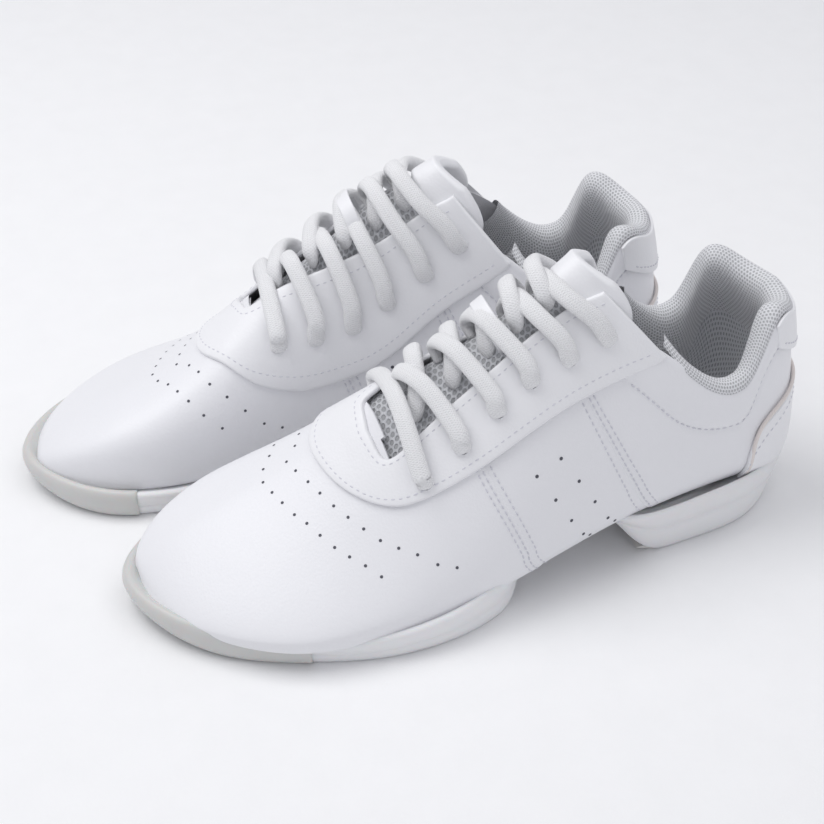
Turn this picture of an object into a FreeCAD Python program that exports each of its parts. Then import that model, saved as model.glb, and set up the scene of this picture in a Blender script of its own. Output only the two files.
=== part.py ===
"""A pair of split-sole cheer shoes with laces, standing side by side on the floor.

Each shoe is drawn in its own coordinates (millimetres):
    l  length, 0 at the back of the heel and growing towards the toe
    m  width, 0 on the heel's centre line, positive to the outer (lateral) side
    z  height above the floor
The left shoe is drawn once and the right shoe is its mirror image.
In the row frame +Z is up, the toes point to -Y and the left shoe is on the +X side.
The origin is on the floor, midway between the two shoes.

The upper is described by a last: a tube of sections that runs from the toe tip, along the
foot, and turns up round the heel.  A place on it is (q, w): q counts along the tube, and w
goes round the section, 0 on the instep ridge, 1 at the widest outer point, 2 under the foot
(or down the back of the heel), 3 at the widest inner point and 4 on the ridge again.
"""
import FreeCAD, Part
import math
import os
from FreeCAD import Vector

os.makedirs("parts", exist_ok=True)

# ---------------------------------------------------------------- driving dimensions
HALF_SPACING = 46.5        # from the middle plane to each shoe's centre line
TOE_OUT = 6.0              # each shoe turns out by this angle, degrees
PIVOT_L = 131.0            # the shoe turns about this length
STAGGER = 15.5             # the left shoe stands this far back, the right this far forward

OUTER_LEATHER = 1.4        # vamp, saddles and quarters
OVERLAY_LIFT = 0.6         # clearance under a sewn-on overlay
OVERLAY_LEATHER = 1.5      # eyestay and heel overlay
STIFFENER = (-2.8, -1.85)   # inner and outer offset of the toe puff and heel counter
LINING = (-4.1, -3.1)      # inner and outer offset of the lining
TONGUE_BODY = (-9.0, -5.7)
TONGUE_TOP = (-6.6, -2.0)
KEEPER = (-5.4, -4.4)
PADDING_DEPTH = 8.6        # collar foam reaches this far inside the leather
PANEL_GAP = 0.35           # between panels that meet edge to edge

FEATHER_W = 1.38           # where the upper meets the sole, round the section
SOLE_CLEARANCE = 0.8       # between the last's skin and the sole that holds it
TREAD_THICKNESS = 3.0
TREAD_GAP = 0.3
BUMPER_THICKNESS = 4.5
BUMPER_TOP = 13.0
BUMPER_END_L = 213.0       # rear end of the bumper on the outer side
BUMPER_END_SLANT = 9.0     # it ends this much further forward on the inner side

LACE_RADIUS = 2.2
EYELET_RADIUS = 3.1
LACE_REST = 5.1            # height of a lace's middle where it lies on the eyestay
LACE_BEND = 2.4            # radius of its turn down into an eyelet
LACE_END = 1.2             # where it stops, inside the eyelet
THROAT_FRONT_L = 172.0
THROAT_HALF_FRONT = 13.0
THROAT_HALF_TOP = 11.0

# ---------------------------------------------------------------- the last
# each curve gives (q, value) pairs
BOTTOM_L = ((0, 264), (50, 212), (100, 162), (125, 136), (150, 106), (175, 70), (198, 26),
            (213, 2), (228, -4), (250, -3), (275, 2))
BOTTOM_Z = ((0, 8), (50, 6), (75, 5.5), (100, 6), (125, 9.5), (150, 14.5), (175, 19),
            (198, 18), (213, 20), (228, 40), (250, 70), (275, 98))
RIDGE_L = ((0, 264), (50, 212), (100, 162), (125, 140), (150, 122), (175, 108), (200, 98),
           (225, 92), (250, 88), (275, 84))
RIDGE_Z = ((0, 30), (25, 35), (50, 45), (75, 60), (100, 79), (125, 94.5), (150, 108),
           (175, 117), (200, 124), (225, 128), (250, 132), (275, 136))
OUTER_HALF = ((0, 33), (25, 42.5), (50, 48.5), (75, 50), (100, 49), (125, 46), (150, 41.5),
              (175, 36.5), (200, 32.8), (225, 31), (250, 31), (275, 31.5))
INNER_HALF = ((0, 46), (25, 48), (50, 46.5), (75, 42.5), (100, 37), (125, 32), (150, 30),
              (175, 30.5), (200, 31), (225, 31), (250, 31), (275, 31.5))
RIDGE_SHIFT = ((0, -16), (25, -17), (50, -16), (75, -11.5), (100, -7), (125, -3.5),
               (150, -1), (200, 0), (275, 0))
WIDEST_HEIGHT = ((0, .30), (50, .24), (100, .19), (150, .20), (175, .22), (200, .30),
                 (225, .38), (250, .42), (275, .45))
BOTTOM_SQUARENESS = ((0, 3.6), (50, 4.6), (100, 4.6), (150, 4.2), (175, 3.8), (200, 3.0),
                     (225, 2.3), (275, 2.1))
SIDE_FULLNESS = ((0, .45), (50, .40), (100, .34), (150, .34), (200, .40), (275, .5))
RIDGE_FULLNESS = ((0, .60), (50, .52), (100, .40), (150, .36), (200, .42), (275, .55))
TIP_SHIFT = -16.0
TIP_HEIGHT = 10.0
TIP_RUN_WIDTH = 62.0       # the nose rounds off over these q lengths
TIP_RUN_RIDGE = 40.0
TIP_RUN_BOTTOM = 30.0
OUTER_SLACK = 0.5          # the toe box slopes away on the outer side
INNER_SLACK = 1.7          # and is full over the big toe
SLACK_END_Q = 140.0
SLACK_RUN = 60.0
TIP_START_Q = 0.5          # the skin is drawn from here, hidden behind the bumper
TIP_CROWDING = 1.8         # sections crowd towards the tip, where the skin turns fastest


def natural_spline(pairs):
    """A natural cubic spline through (x, y) pairs, held constant beyond its ends."""
    xs = [float(p[0]) for p in pairs]
    ys = [float(p[1]) for p in pairs]
    n = len(xs)
    h = [xs[i + 1] - xs[i] for i in range(n - 1)]
    diag = [1.0] * n
    rhs = [0.0] * n
    upper = [0.0] * n
    for i in range(1, n - 1):
        slope = 6 * ((ys[i + 1] - ys[i]) / h[i] - (ys[i] - ys[i - 1]) / h[i - 1])
        pivot = 2 * (h[i - 1] + h[i]) - h[i - 1] * upper[i - 1]
        diag[i] = pivot
        upper[i] = h[i] / pivot
        rhs[i] = (slope - h[i - 1] * rhs[i - 1]) / pivot
    bend = [0.0] * n
    for i in range(n - 2, 0, -1):
        bend[i] = rhs[i] - upper[i] * bend[i + 1]

    def value(x):
        x = min(max(x, xs[0]), xs[-1])
        i = 0
        while i < n - 2 and x > xs[i + 1]:
            i += 1
        a = (xs[i + 1] - x) / h[i]
        b = 1 - a
        curve = ((a ** 3 - a) * bend[i] + (b ** 3 - b) * bend[i + 1]) * h[i] ** 2 / 6
        return a * ys[i] + b * ys[i + 1] + curve

    return value


bottom_l = natural_spline(BOTTOM_L)
bottom_z = natural_spline(BOTTOM_Z)
ridge_l = natural_spline(RIDGE_L)
ridge_z = natural_spline(RIDGE_Z)
outer_half = natural_spline(OUTER_HALF)
inner_half = natural_spline(INNER_HALF)
ridge_shift = natural_spline(RIDGE_SHIFT)
widest_height = natural_spline(WIDEST_HEIGHT)
squareness = natural_spline(BOTTOM_SQUARENESS)
side_fullness = natural_spline(SIDE_FULLNESS)
ridge_fullness = natural_spline(RIDGE_FULLNESS)


def nose(q, power, run):
    """Grows from 0 at the toe tip to 1 at q = run, like a quarter of an ellipse."""
    x = min(max(1 - q / run, 0.0), 1.0)
    return (1 - x ** power) ** (1 / power)


def last_point(q, w):
    """The place (l, m, z) on the last's skin."""
    w = w % 4
    outer = w <= 2
    t = w if outer else 4 - w
    wide = nose(q, 2.3, TIP_RUN_WIDTH)
    z0 = TIP_HEIGHT + (bottom_z(q) - TIP_HEIGHT) * nose(q, 2.2, TIP_RUN_BOTTOM)
    z1 = TIP_HEIGHT + (ridge_z(q) - TIP_HEIGHT) * nose(q, 2.1, TIP_RUN_RIDGE)
    if outer:
        half = TIP_SHIFT + (outer_half(q) - TIP_SHIFT) * wide
    else:
        half = TIP_SHIFT - (inner_half(q) + TIP_SHIFT) * wide
    top_m = TIP_SHIFT + (ridge_shift(q) - TIP_SHIFT) * wide
    low_m = TIP_SHIFT * (1 - wide)
    hm = widest_height(q)
    if t <= 1:
        fade = min(max((SLACK_END_Q - q) / SLACK_RUN, 0.0), 1.0)
        slack = (OUTER_SLACK if outer else INNER_SLACK) * fade + 1 - fade
        k1 = side_fullness(q) * slack
        k2 = ridge_fullness(q) * slack
        u = 1 - t
        a = (1 - u) ** 3
        b = 3 * (1 - u) ** 2 * u
        c = 3 * (1 - u) * u ** 2
        d = u ** 3
        h = a * hm + b * (hm + k1 * (1 - hm)) + c + d
        m = (a + b) * half + c * (top_m + k2 * (half - top_m)) + d * top_m
    else:
        angle = (2 - t) * math.pi / 2
        n = squareness(q)
        m = low_m + (half - low_m) * max(math.sin(angle), 0.0) ** (2 / n)
        h = hm * (1 - max(math.cos(angle), 0.0) ** (2 / n))
    l = bottom_l(q) + (ridge_l(q) - bottom_l(q)) * h
    return Vector(l, m, z0 + (z1 - z0) * h)


def skin_normal(q, w):
    """Unit normal of the last's skin, pointing out of the foot."""
    dq = 0.6
    dw = 0.012
    along = last_point(q + dq, w) - last_point(max(q - dq, 0.4), w)
    around = last_point(q, w + dw) - last_point(q, w - dw)
    normal = around.cross(along)
    normal.normalize()
    return normal


def skin(q, w, offset=0.0):
    """A point off the last's skin, in shoe coordinates."""
    return last_point(q, w) + skin_normal(q, w) * offset


def place(p):
    """Shoe coordinates to the row frame, for the left shoe before its stagger."""
    turn = math.radians(TOE_OUT)
    l = p.x - PIVOT_L
    forward = l * math.cos(turn) - p.y * math.sin(turn)
    outward = l * math.sin(turn) + p.y * math.cos(turn)
    return Vector(HALF_SPACING + outward, -forward, p.z)


def w_at_width(q, m):
    """The w on the upper half of section q whose width is m."""
    outer = m >= last_point(q, 0).y
    low, high = 0.0, 1.0
    for _ in range(40):
        mid = (low + high) / 2
        reach = last_point(q, mid if outer else 4 - mid).y
        if (reach < m) == outer:
            low = mid
        else:
            high = mid
    return low if outer else 4 - low


# ---------------------------------------------------------------- solid builders
def clamped(count):
    """Knots and multiplicities of an open cubic curve with this many poles."""
    spans = count - 3
    return list(range(spans + 1)), [4] + [1] * (spans - 1) + [4]


def face_grid(poles, closed=False):
    """A smooth cubic surface pulled towards a grid of points, closed round each row or not."""
    knots, mults = clamped(len(poles))
    if closed:
        around = list(range(len(poles[0]) + 1))
        around_mults = [1] * len(around)
    else:
        around, around_mults = clamped(len(poles[0]))
    surface = Part.BSplineSurface()
    surface.buildFromPolesMultsKnots(poles, mults, around_mults, knots, around, False, closed,
                                     3, 3)
    return surface


def closed_solid(faces):
    shell = Part.makeShell(faces)
    shell.sewShape()
    solid = Part.makeSolid(shell)
    if solid.Volume < 0:
        solid.reverse()
    return solid


def shell_patch(domain, inner, outer, nu=9, nv=9):
    """A solid sheet over part of the skin.

    domain(s, r) gives (q, w) for s and r from 0 to 1; inner and outer are offsets from the
    skin, each a number or a function of (s, r).
    """
    grids = []
    for offset in (inner, outer):
        rows = []
        for i in range(nu):
            row = []
            for j in range(nv):
                s = i / (nu - 1)
                r = j / (nv - 1)
                q, w = domain(s, r)
                depth = offset(s, r) if callable(offset) else offset
                row.append(place(skin(q, w, depth)))
            rows.append(row)
        grids.append(face_grid(rows))
    return between(*grids)


def between(low, high):
    """The solid between two surfaces with matching edges."""
    u0, u1, v0, v1 = low.bounds()
    faces = [low.toShape(), high.toShape()]
    for end in (u0, u1):
        faces.append(Part.makeRuledSurface(low.uIso(end).toShape(), high.uIso(end).toShape()))
    for end in (v0, v1):
        faces.append(Part.makeRuledSurface(low.vIso(end).toShape(), high.vIso(end).toShape()))
    return closed_solid(faces)


def band(low_edge, high_edge):
    """A patch domain between two edges, each a function of s that gives (q, w)."""
    def domain(s, r):
        q0, w0 = low_edge(s)
        q1, w1 = high_edge(s)
        return q0 + (q1 - q0) * r, w0 + (w1 - w0) * r
    return domain


def edge_curve(points):
    """An edge on the skin through (q, w) points, evenly spread over s from 0 to 1."""
    last = len(points) - 1
    q_of = natural_spline([(i / last, p[0]) for i, p in enumerate(points)])
    w_of = natural_spline([(i / last, p[1]) for i, p in enumerate(points)])
    return lambda s: (q_of(s), w_of(s))


def mirrored(points):
    """The points, then their mirror images on the inner side, in reverse order."""
    return list(points) + [(q, 4 - w) for q, w in reversed(points) if w < 2]


def inner_side(domain):
    """The same patch on the inner side of the shoe."""
    def other(s, r):
        q, w = domain(s, r)
        return q, 4 - w
    return other


def capped(surface):
    """The solid inside a surface that is closed round its rows."""
    u0, u1, v0, v1 = surface.bounds()
    caps = [Part.makeFilledFace([surface.uIso(end).toShape()]) for end in (u0, u1)]
    return closed_solid([surface.toShape()] + caps)


def tube(points, radius, steps):
    """A round cord along a smooth path of row-frame points."""
    marks = range(len(points))
    curves = [natural_spline([(i, p[k]) for i, p in zip(marks, points)]) for k in range(3)]

    def path(x):
        return Vector(*[curve(x) for curve in curves])
    side = None
    rings = []
    for i in range(steps):
        x = (len(points) - 1) * i / (steps - 1)
        along = path(x + 0.02) - path(x - 0.02)
        along.normalize()
        if side is None:
            side = along.cross(Vector(0, 0, 1))
        side = side - along * side.dot(along)
        side.normalize()
        across = side * radius
        circle = Part.Circle(path(x) + across, path(x) + along.cross(across), path(x) - across)
        rings.append(Part.Wire([circle.toShape()]))
    return Part.makeLoft(rings, True, True)


def closed_outline(points, z):
    """A smooth closed wire through (l, m) points at height z."""
    curve = Part.BSplineCurve()
    curve.interpolate(Points=[place(Vector(l, m, z)) for l, m in points], PeriodicFlag=True)
    return Part.Wire([curve.toShape()])


def inset(points, distance):
    """The closed outline's points moved inwards."""
    n = len(points)
    moved = []
    for i in range(n):
        ahead = points[(i + 1) % n]
        behind = points[i - 1]
        dl = ahead[0] - behind[0]
        dm = ahead[1] - behind[1]
        size = math.hypot(dl, dm)
        moved.append((points[i][0] - distance * dm / size, points[i][1] + distance * dl / size))
    return moved


def outline_block(points, z0, z1, taper=0.0):
    """A block with a smooth outline that narrows by taper at its lower end."""
    low = closed_outline(inset(points, taper), z0)
    high = closed_outline(points, z1)
    return Part.makeLoft([low, high], True, True)


def side_prism(points, m0=-75.0, m1=75.0):
    """A prism across the shoe from its smooth-cornered side profile of (l, z) points."""
    corners = [place(Vector(l, m0, z)) for l, z in points]
    wire = Part.makePolygon(corners + [corners[0]])
    across = place(Vector(0, m1, 0)) - place(Vector(0, m0, 0))
    return Part.Face(wire).extrude(across)


def plan_prism(points, z0=-5.0, z1=160.0):
    """A prism straight up from a plan outline with straight sides of (l, m) points."""
    corners = [place(Vector(l, m, z0)) for l, m in points]
    wire = Part.makePolygon(corners + [corners[0]])
    return Part.Face(wire).extrude(Vector(0, 0, z1 - z0))


def last_core(q0, q1, offset, sections=30, ring=56, crowding=1.0):
    """The foot's space from q0 to q1 as one solid, grown by offset."""
    rows = []
    for i in range(sections):
        q = q0 + (q1 - q0) * (i / (sections - 1)) ** crowding
        rows.append([place(skin(q, 4 * j / ring, offset)) for j in range(ring)])
    return capped(face_grid(rows, True))


# ---------------------------------------------------------------- where the pieces meet
# panel edges on the skin as (q, w), outer side
VAMP_SEAM = natural_spline(((0.5, 124), (0.82, 132.5), (1.38, 141)))
QUARTER_SEAM = natural_spline(((0.5, 171.5), (1.38, 176)))
TOPLINE = natural_spline(((0.4, 226), (0.54, 220.5), (0.7, 217), (0.9, 221.5), (1.08, 237),
                          (1.28, 263.5), (1.6, 272), (2.0, 274)))
FEATHER = ((176.4, 1.38), (188, 1.43), (199, 1.52), (208, 1.66), (214, 1.83), (216.5, 1.99))
QUARTER_TOP = ((171.9, 0.5), (190, 0.5), (206, 0.5), (214, 0.66), (219, 0.92), (234, 1.08),
               (260, 1.28), (268, 1.6), (271, 1.99))
COLLAR_BAND = 16.0         # the collar foam is this deep, along q
COLLAR_START_W = 0.66

# the eyestay's outline from above, (l, m)
EYESTAY_OUTLINE = ((192.5, -9), (189.5, 4), (182, 16), (172, 24.5), (160, 28), (140, 29.5),
                   (116, 28.3), (90, 25.5), (70, 24), (66, 0), (70, -24), (90, -24.5),
                   (116, -27), (140, -30.5), (156, -33), (172, -34), (183, -29), (190.5, -20))
EYELET_ROWS = ((102, 26), (118.5, 24.3), (135.5, 22.6), (152.5, 21), (173, 20.2),
               (194.5, 19.6))  # q and half the distance between the two eyelets of the row
EYELET_CENTRE = natural_spline(((102, -1.5), (194.5, 0)))

# the soles' outlines from above, (l, m), from the toe round the outer side
FORE_OUTLINE = ((269.5, -16), (264.5, 4), (251.5, 21.8), (234.5, 34.5), (212, 45), (186, 52.5),
                (160, 53), (139, 47.5), (124, 34), (118, 4), (120, -24), (138, -37),
                (160, -42), (186, -48), (208, -52), (228, -52), (247, -45), (262, -32))
HEEL_OUTLINE = ((94, 6), (91, 25), (80, 36.5), (62, 37.5), (42, 36), (22, 32.5), (5, 22.5),
                (-5.5, 8), (-5.5, -8), (5, -22.5), (22, -32.5), (42, -35.5), (62, -35.5),
                (80, -34), (91, -23.5), (94, -8))
FORE_PROFILE = ((128, 0), (238, 0), (256, 1.8), (270, 5), (270, BUMPER_TOP + 1.5),
                (240, BUMPER_TOP), (212, 11.5), (186, 13), (154, 17), (130, 21), (112, 24),
                (112, 17), (119, 5))
HEEL_PROFILE = ((12, 0), (66, 0), (74, 4), (86, 16), (97, 27), (72, 28), (32, 28.5),
                (10, 27.5), (-10, 27), (-10, 12), (-2, 3))
FORE_TAPER = 3.5
HEEL_TAPER = 5.5
SOLE_HEIGHT = 32.0

HEEL_SOLE_TOP = 28.5
INLAY_CORNERS = ((24, 7), (46, 6), (38, 13))


# ---------------------------------------------------------------- upper
def vamp_domain(front_q, edge_w, back_trim, crowding=1.0):
    def domain(s, r):
        w = edge_w * (2 * s - 1)
        back = VAMP_SEAM(max(abs(w), 0.5)) - back_trim
        return front_q + (back - front_q) * r ** crowding, w
    return domain


def throat_opening():
    """The slot over the tongue, straight up through everything that lies on the instep."""
    f = THROAT_FRONT_L
    a = THROAT_HALF_FRONT
    b = THROAT_HALF_TOP
    return plan_prism(((f, -a), (f + 1.5, -4), (f + 1.5, 3), (f, a - 1.5), (f - 20, a - 1),
                       (50, b), (50, -b), (f - 20, -a)))


def make_vamp():
    domain = vamp_domain(TIP_START_Q, FEATHER_W, PANEL_GAP, TIP_CROWDING)
    sheet = shell_patch(domain, -OUTER_LEATHER, 0, 33, 21)
    return sheet.cut(throat_opening())


def make_vamp_lining():
    sheet = shell_patch(vamp_domain(14, 1.3, 2.5), LINING[0], LINING[1], 29, 13)
    return sheet.cut(throat_opening())


def make_toe_puff():
    def domain(s, r):
        return 13 + 27 * r, 0.9 * (2 * s - 1)
    return shell_patch(domain, STIFFENER[0], STIFFENER[1], 17, 7)


def saddle_domain(s, r):
    w = 0.5 + (FEATHER_W - 0.5) * r
    q0 = VAMP_SEAM(w) + PANEL_GAP
    q1 = QUARTER_SEAM(w) - PANEL_GAP
    return q0 + (q1 - q0) * s, w


def make_saddle(domain):
    return shell_patch(domain, -OUTER_LEATHER - 1, 0, 7, 9)


quarter_domain = band(edge_curve(FEATHER), edge_curve(QUARTER_TOP))


def make_quarter(domain):
    return shell_patch(domain, -OUTER_LEATHER, 0, 19, 11)


def eyelet_place(row, side, offset, inward=0.0):
    """A point above (or in) an eyelet; inward moves it towards the throat."""
    q, half = EYELET_ROWS[row]
    m = EYELET_CENTRE(q) + side * (half - inward)
    return place(skin(q, w_at_width(q, m), offset))


def make_eyestay():
    def domain(s, r):
        return 60 + 155 * r, 0.86 * (2 * s - 1)
    low = OVERLAY_LIFT
    sheet = shell_patch(domain, low, low + OVERLAY_LEATHER, 15, 19)
    stay = sheet.common(outline_block(EYESTAY_OUTLINE, 20, 140)).cut(throat_opening())
    for row in range(len(EYELET_ROWS)):
        for side in (1, -1):
            low_end = eyelet_place(row, side, -4)
            high_end = eyelet_place(row, side, 6)
            punch = Part.makeCylinder(EYELET_RADIUS, 10, low_end, high_end - low_end)
            stay = stay.cut(punch)
    return stay


def above_heel_sole(shape):
    """The part of a shape that stands clear above the heel sole's rim."""
    clear = HEEL_SOLE_TOP + 0.4
    return shape.common(Part.makeBox(400, 400, 200, Vector(-200, -200, clear)))


def heel_cup_edges():
    low = mirrored(((200, 1.525), (207, 1.64), (213.5, 1.82), (216.5, 2.0)))
    high = mirrored(((201, 1.42), (209, 1.17), (222, 1.22), (237, 1.62), (241.5, 2.0)))
    return edge_curve(low), edge_curve(high)


def make_heel_overlay():
    low, high = heel_cup_edges()
    sheet = shell_patch(band(low, high), OVERLAY_LIFT, OVERLAY_LIFT + 1.0, 23, 7)
    return above_heel_sole(sheet)


def make_heel_piping():
    """A cord along the heel overlay's upper edge, just clear of it."""
    low, high = heel_cup_edges()
    lift = 1.2
    radius = 0.8
    clear = 1.5
    points = []
    for i in range(25):
        s = i / 24
        q, w = high(s)
        normal = skin_normal(q, w)
        along = skin(*high(min(s + 0.01, 1.0))) - skin(*high(max(s - 0.01, 0.0)))
        outward = normal.cross(along)
        outward.normalize()
        if outward.dot(skin(q, w) - skin(*low(s))) < 0:
            outward = -outward
        points.append(place(skin(q, w, lift) + outward * clear))
    return above_heel_sole(tube(points, radius, 40))


def make_heel_tab():
    def domain(s, r):
        w = 1.3 + 1.4 * s
        top = TOPLINE(min(w, 4 - w)) - 4
        return 251.5 + (top - 251.5) * r, w
    return shell_patch(domain, OVERLAY_LIFT, OVERLAY_LIFT + 1.1, 15, 7)


def make_heel_counter():
    def domain(s, r):
        w = 1.25 + 1.5 * s
        top = TOPLINE(min(w, 4 - w)) - COLLAR_BAND - 4
        low = 224 - 4 * abs(2 * s - 1)
        return low + (top - low) * r, w
    return shell_patch(domain, STIFFENER[0], STIFFENER[1], 15, 7)


def collar_w(s):
    return COLLAR_START_W + (4 - 2 * COLLAR_START_W) * s


def make_collar_padding():
    def domain(s, r):
        w = collar_w(s)
        top = TOPLINE(min(w, 4 - w))
        return top - COLLAR_BAND * (1 - r), w

    def inner(s, r):
        return -3.2 - (PADDING_DEPTH - 3.2) * math.sin(math.pi * r) ** 0.6
    return shell_patch(domain, inner, -1.9, 31, 9)


def make_collar_lining():
    low = mirrored(((177.5, 1.36), (188, 1.41), (199, 1.50), (208, 1.64), (214, 1.81),
                    (218, 2.0)))
    top_points = [(176, 0.66)]
    for w in (0.68, 0.8, 0.92, 1.08, 1.28, 1.5, 2.0):
        top_points.append((TOPLINE(w) - COLLAR_BAND - 2, w))
    high = mirrored(top_points)
    domain = band(edge_curve(low), edge_curve(high))
    return shell_patch(domain, LINING[0], LINING[1], 35, 9)


# ---------------------------------------------------------------- tongue and laces
def arch_sheet(edges, inner, outer, nu, nv):
    """A padded sheet over the instep; each cross-section is a parabola.

    edges(r) gives q and the half-width there; inner and outer are offsets from the skin.
    """
    grids = []
    for offset in (inner, outer):
        rows = []
        for j in range(nv):
            q, half = edges(j / (nv - 1))
            centre_m = EYELET_CENTRE(q)
            ends = []
            for side in (-1, 1):
                ends.append(skin(q, w_at_width(q, centre_m + side * half), offset))
            crown = skin(q, 0, offset)
            middle = (ends[0] + ends[1]) * 0.5
            reach = (ends[1] - ends[0]) * 0.5
            row = []
            for i in range(nu):
                u = 2 * i / (nu - 1) - 1
                row.append(place(middle * u ** 2 + crown * (1 - u ** 2) + reach * u))
            rows.append(row)
        grids.append(face_grid(rows))
    return between(*grids)


def tongue_half(q):
    return 17 + 2.5 * (q - 90) / 99


def make_tongue_body():
    def edges(r):
        q = 90 + 99 * r
        return q, tongue_half(q)
    return arch_sheet(edges, TONGUE_BODY[0], TONGUE_BODY[1], 9, 11)


def make_tongue_top():
    def edges(r):
        return 191 + 36 * r, 20.5 - 3.5 * r ** 4
    return arch_sheet(edges, TONGUE_TOP[0], TONGUE_TOP[1], 9, 7)


def make_lace_keeper():
    """A leather strip across the tongue, under the laces."""
    def edges(r):
        q = 145.5 + 5 * r
        return q, tongue_half(q)
    return arch_sheet(edges, KEEPER[0], KEEPER[1], 9, 4)


def eyelet_turn(row, side):
    """The lace's last points: flat on the eyestay, then bent straight down the eyelet."""
    slant = LACE_BEND * (1 - math.sqrt(0.5))
    low = LACE_REST - LACE_BEND
    turn = ((LACE_REST + 0.8, LACE_BEND + 7), (LACE_REST + 0.3, LACE_BEND + 3),
            (LACE_REST, LACE_BEND), (LACE_REST - slant, slant), (low, 0),
            ((low + LACE_END) / 2, 0), (LACE_END, 0))
    return [eyelet_place(row, side, offset, inward) for offset, inward in turn]


def strand(row, side, over):
    """One lace strand, up from the throat beside one eyelet and into the next one across."""
    q0 = EYELET_ROWS[row][0]
    q1 = EYELET_ROWS[row + 1][0]
    step = q1 - q0
    low, high = (6.1, 5.6) if over else (1.1, 4.9)
    points = []
    for q, m, offset in ((q0 + 0.12 * step, -6.5, -1.5), (q0 + 0.28 * step, -5.5, low - 2.2),
                         (q0 + 0.52 * step, 0, low), (q0 + 0.76 * step, 8, high)):
        points.append(place(skin(q, w_at_width(q, EYELET_CENTRE(q) + side * m), offset)))
    return tube(points + eyelet_turn(row + 1, side), LACE_RADIUS, 22)


def make_lace():
    q = EYELET_ROWS[0][0]
    middle = []
    for m in (-9, 0, 9):
        middle.append(place(skin(q, w_at_width(q, EYELET_CENTRE(q) + m), LACE_REST + 1)))
    bar = eyelet_turn(0, -1)[::-1] + middle + eyelet_turn(0, 1)
    strands = [tube(bar, LACE_RADIUS, 36)]
    for row in range(len(EYELET_ROWS) - 1):
        outward_over = row < 3
        strands.append(strand(row, 1, outward_over))
        strands.append(strand(row, -1, not outward_over))
    return Part.makeCompound(strands)


# ---------------------------------------------------------------- underfoot
def bottom_sheet(q0, q1, inner, outer, nu=13, w0=1.52):
    def domain(s, r):
        return q0 + (q1 - q0) * s, w0 + (4 - 2 * w0) * r
    return shell_patch(domain, inner, outer, nu, 9)


def fore_sole_parts():
    """Forefoot sole, its tread and the toe bumper, cut from one outline block."""
    core = last_core(TIP_START_Q, 190, SOLE_CLEARANCE, crowding=TIP_CROWDING)
    block = outline_block(FORE_OUTLINE, -0.01, SOLE_HEIGHT, FORE_TAPER)
    body = block.common(side_prism(FORE_PROFILE))
    shell = body.cut(core)
    end = BUMPER_END_L
    slant = BUMPER_END_SLANT
    front = ((end, 75), (end + slant, -75), (320, -75), (320, 75))
    behind = ((end - PANEL_GAP, 75), (end + slant - PANEL_GAP, -75), (320, -75), (320, 75))
    inner_block = outline_block(inset(FORE_OUTLINE, BUMPER_THICKNESS), -1, 40, FORE_TAPER)
    core_of_bumper = outline_block(inset(FORE_OUTLINE, BUMPER_THICKNESS + PANEL_GAP), -1, 40,
                                   FORE_TAPER)
    bumper = shell.common(plan_prism(front)).cut(inner_block)
    sole = shell.cut(plan_prism(behind).cut(core_of_bumper))
    tread_inset = BUMPER_THICKNESS + FORE_TAPER + 1.0
    tread_outline = inset(FORE_OUTLINE, tread_inset)
    tread_block = outline_block(tread_outline, -0.01, TREAD_THICKNESS, 0.5)
    tread = tread_block.common(side_prism(FORE_PROFILE))
    lift = outline_block(inset(FORE_OUTLINE, tread_inset - TREAD_GAP), -1,
                         TREAD_THICKNESS + TREAD_GAP)
    sole = sole.cut(lift)
    return largest(sole), largest(tread), largest(bumper)


def heel_sole_parts():
    """Heel sole, its tread and the two side inlays."""
    core = last_core(150, 240, SOLE_CLEARANCE)
    block = outline_block(HEEL_OUTLINE, -0.01, SOLE_HEIGHT, HEEL_TAPER)
    body = block.common(side_prism(HEEL_PROFILE)).cut(core)
    inner_block = outline_block(inset(HEEL_OUTLINE, 2.0), -0.01, SOLE_HEIGHT, HEEL_TAPER)
    pocket_block = outline_block(inset(HEEL_OUTLINE, 2.3), -0.01, SOLE_HEIGHT, HEEL_TAPER)
    inlays = []
    for m0, m1 in ((5, 75), (-75, -5)):
        wedge = side_prism(INLAY_CORNERS, m0, m1)
        inlays.append(largest(body.common(wedge).cut(inner_block)))
        centre = wedge.CenterOfMass
        wide = wedge.copy()
        wide.scale(1.06, centre)
        body = body.cut(wide.cut(pocket_block))
    tread_outline = inset(HEEL_OUTLINE, HEEL_TAPER + 3)
    tread_block = outline_block(tread_outline, -0.01, TREAD_THICKNESS, 0.5)
    tread = tread_block.common(side_prism(HEEL_PROFILE))
    lift = outline_block(inset(HEEL_OUTLINE, HEEL_TAPER + 3 - TREAD_GAP), -1,
                         TREAD_THICKNESS + TREAD_GAP)
    return largest(body.cut(lift)), largest(tread), Part.makeCompound(inlays)


def largest(shape):
    return max(shape.Solids, key=lambda solid: solid.Volume)


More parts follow.
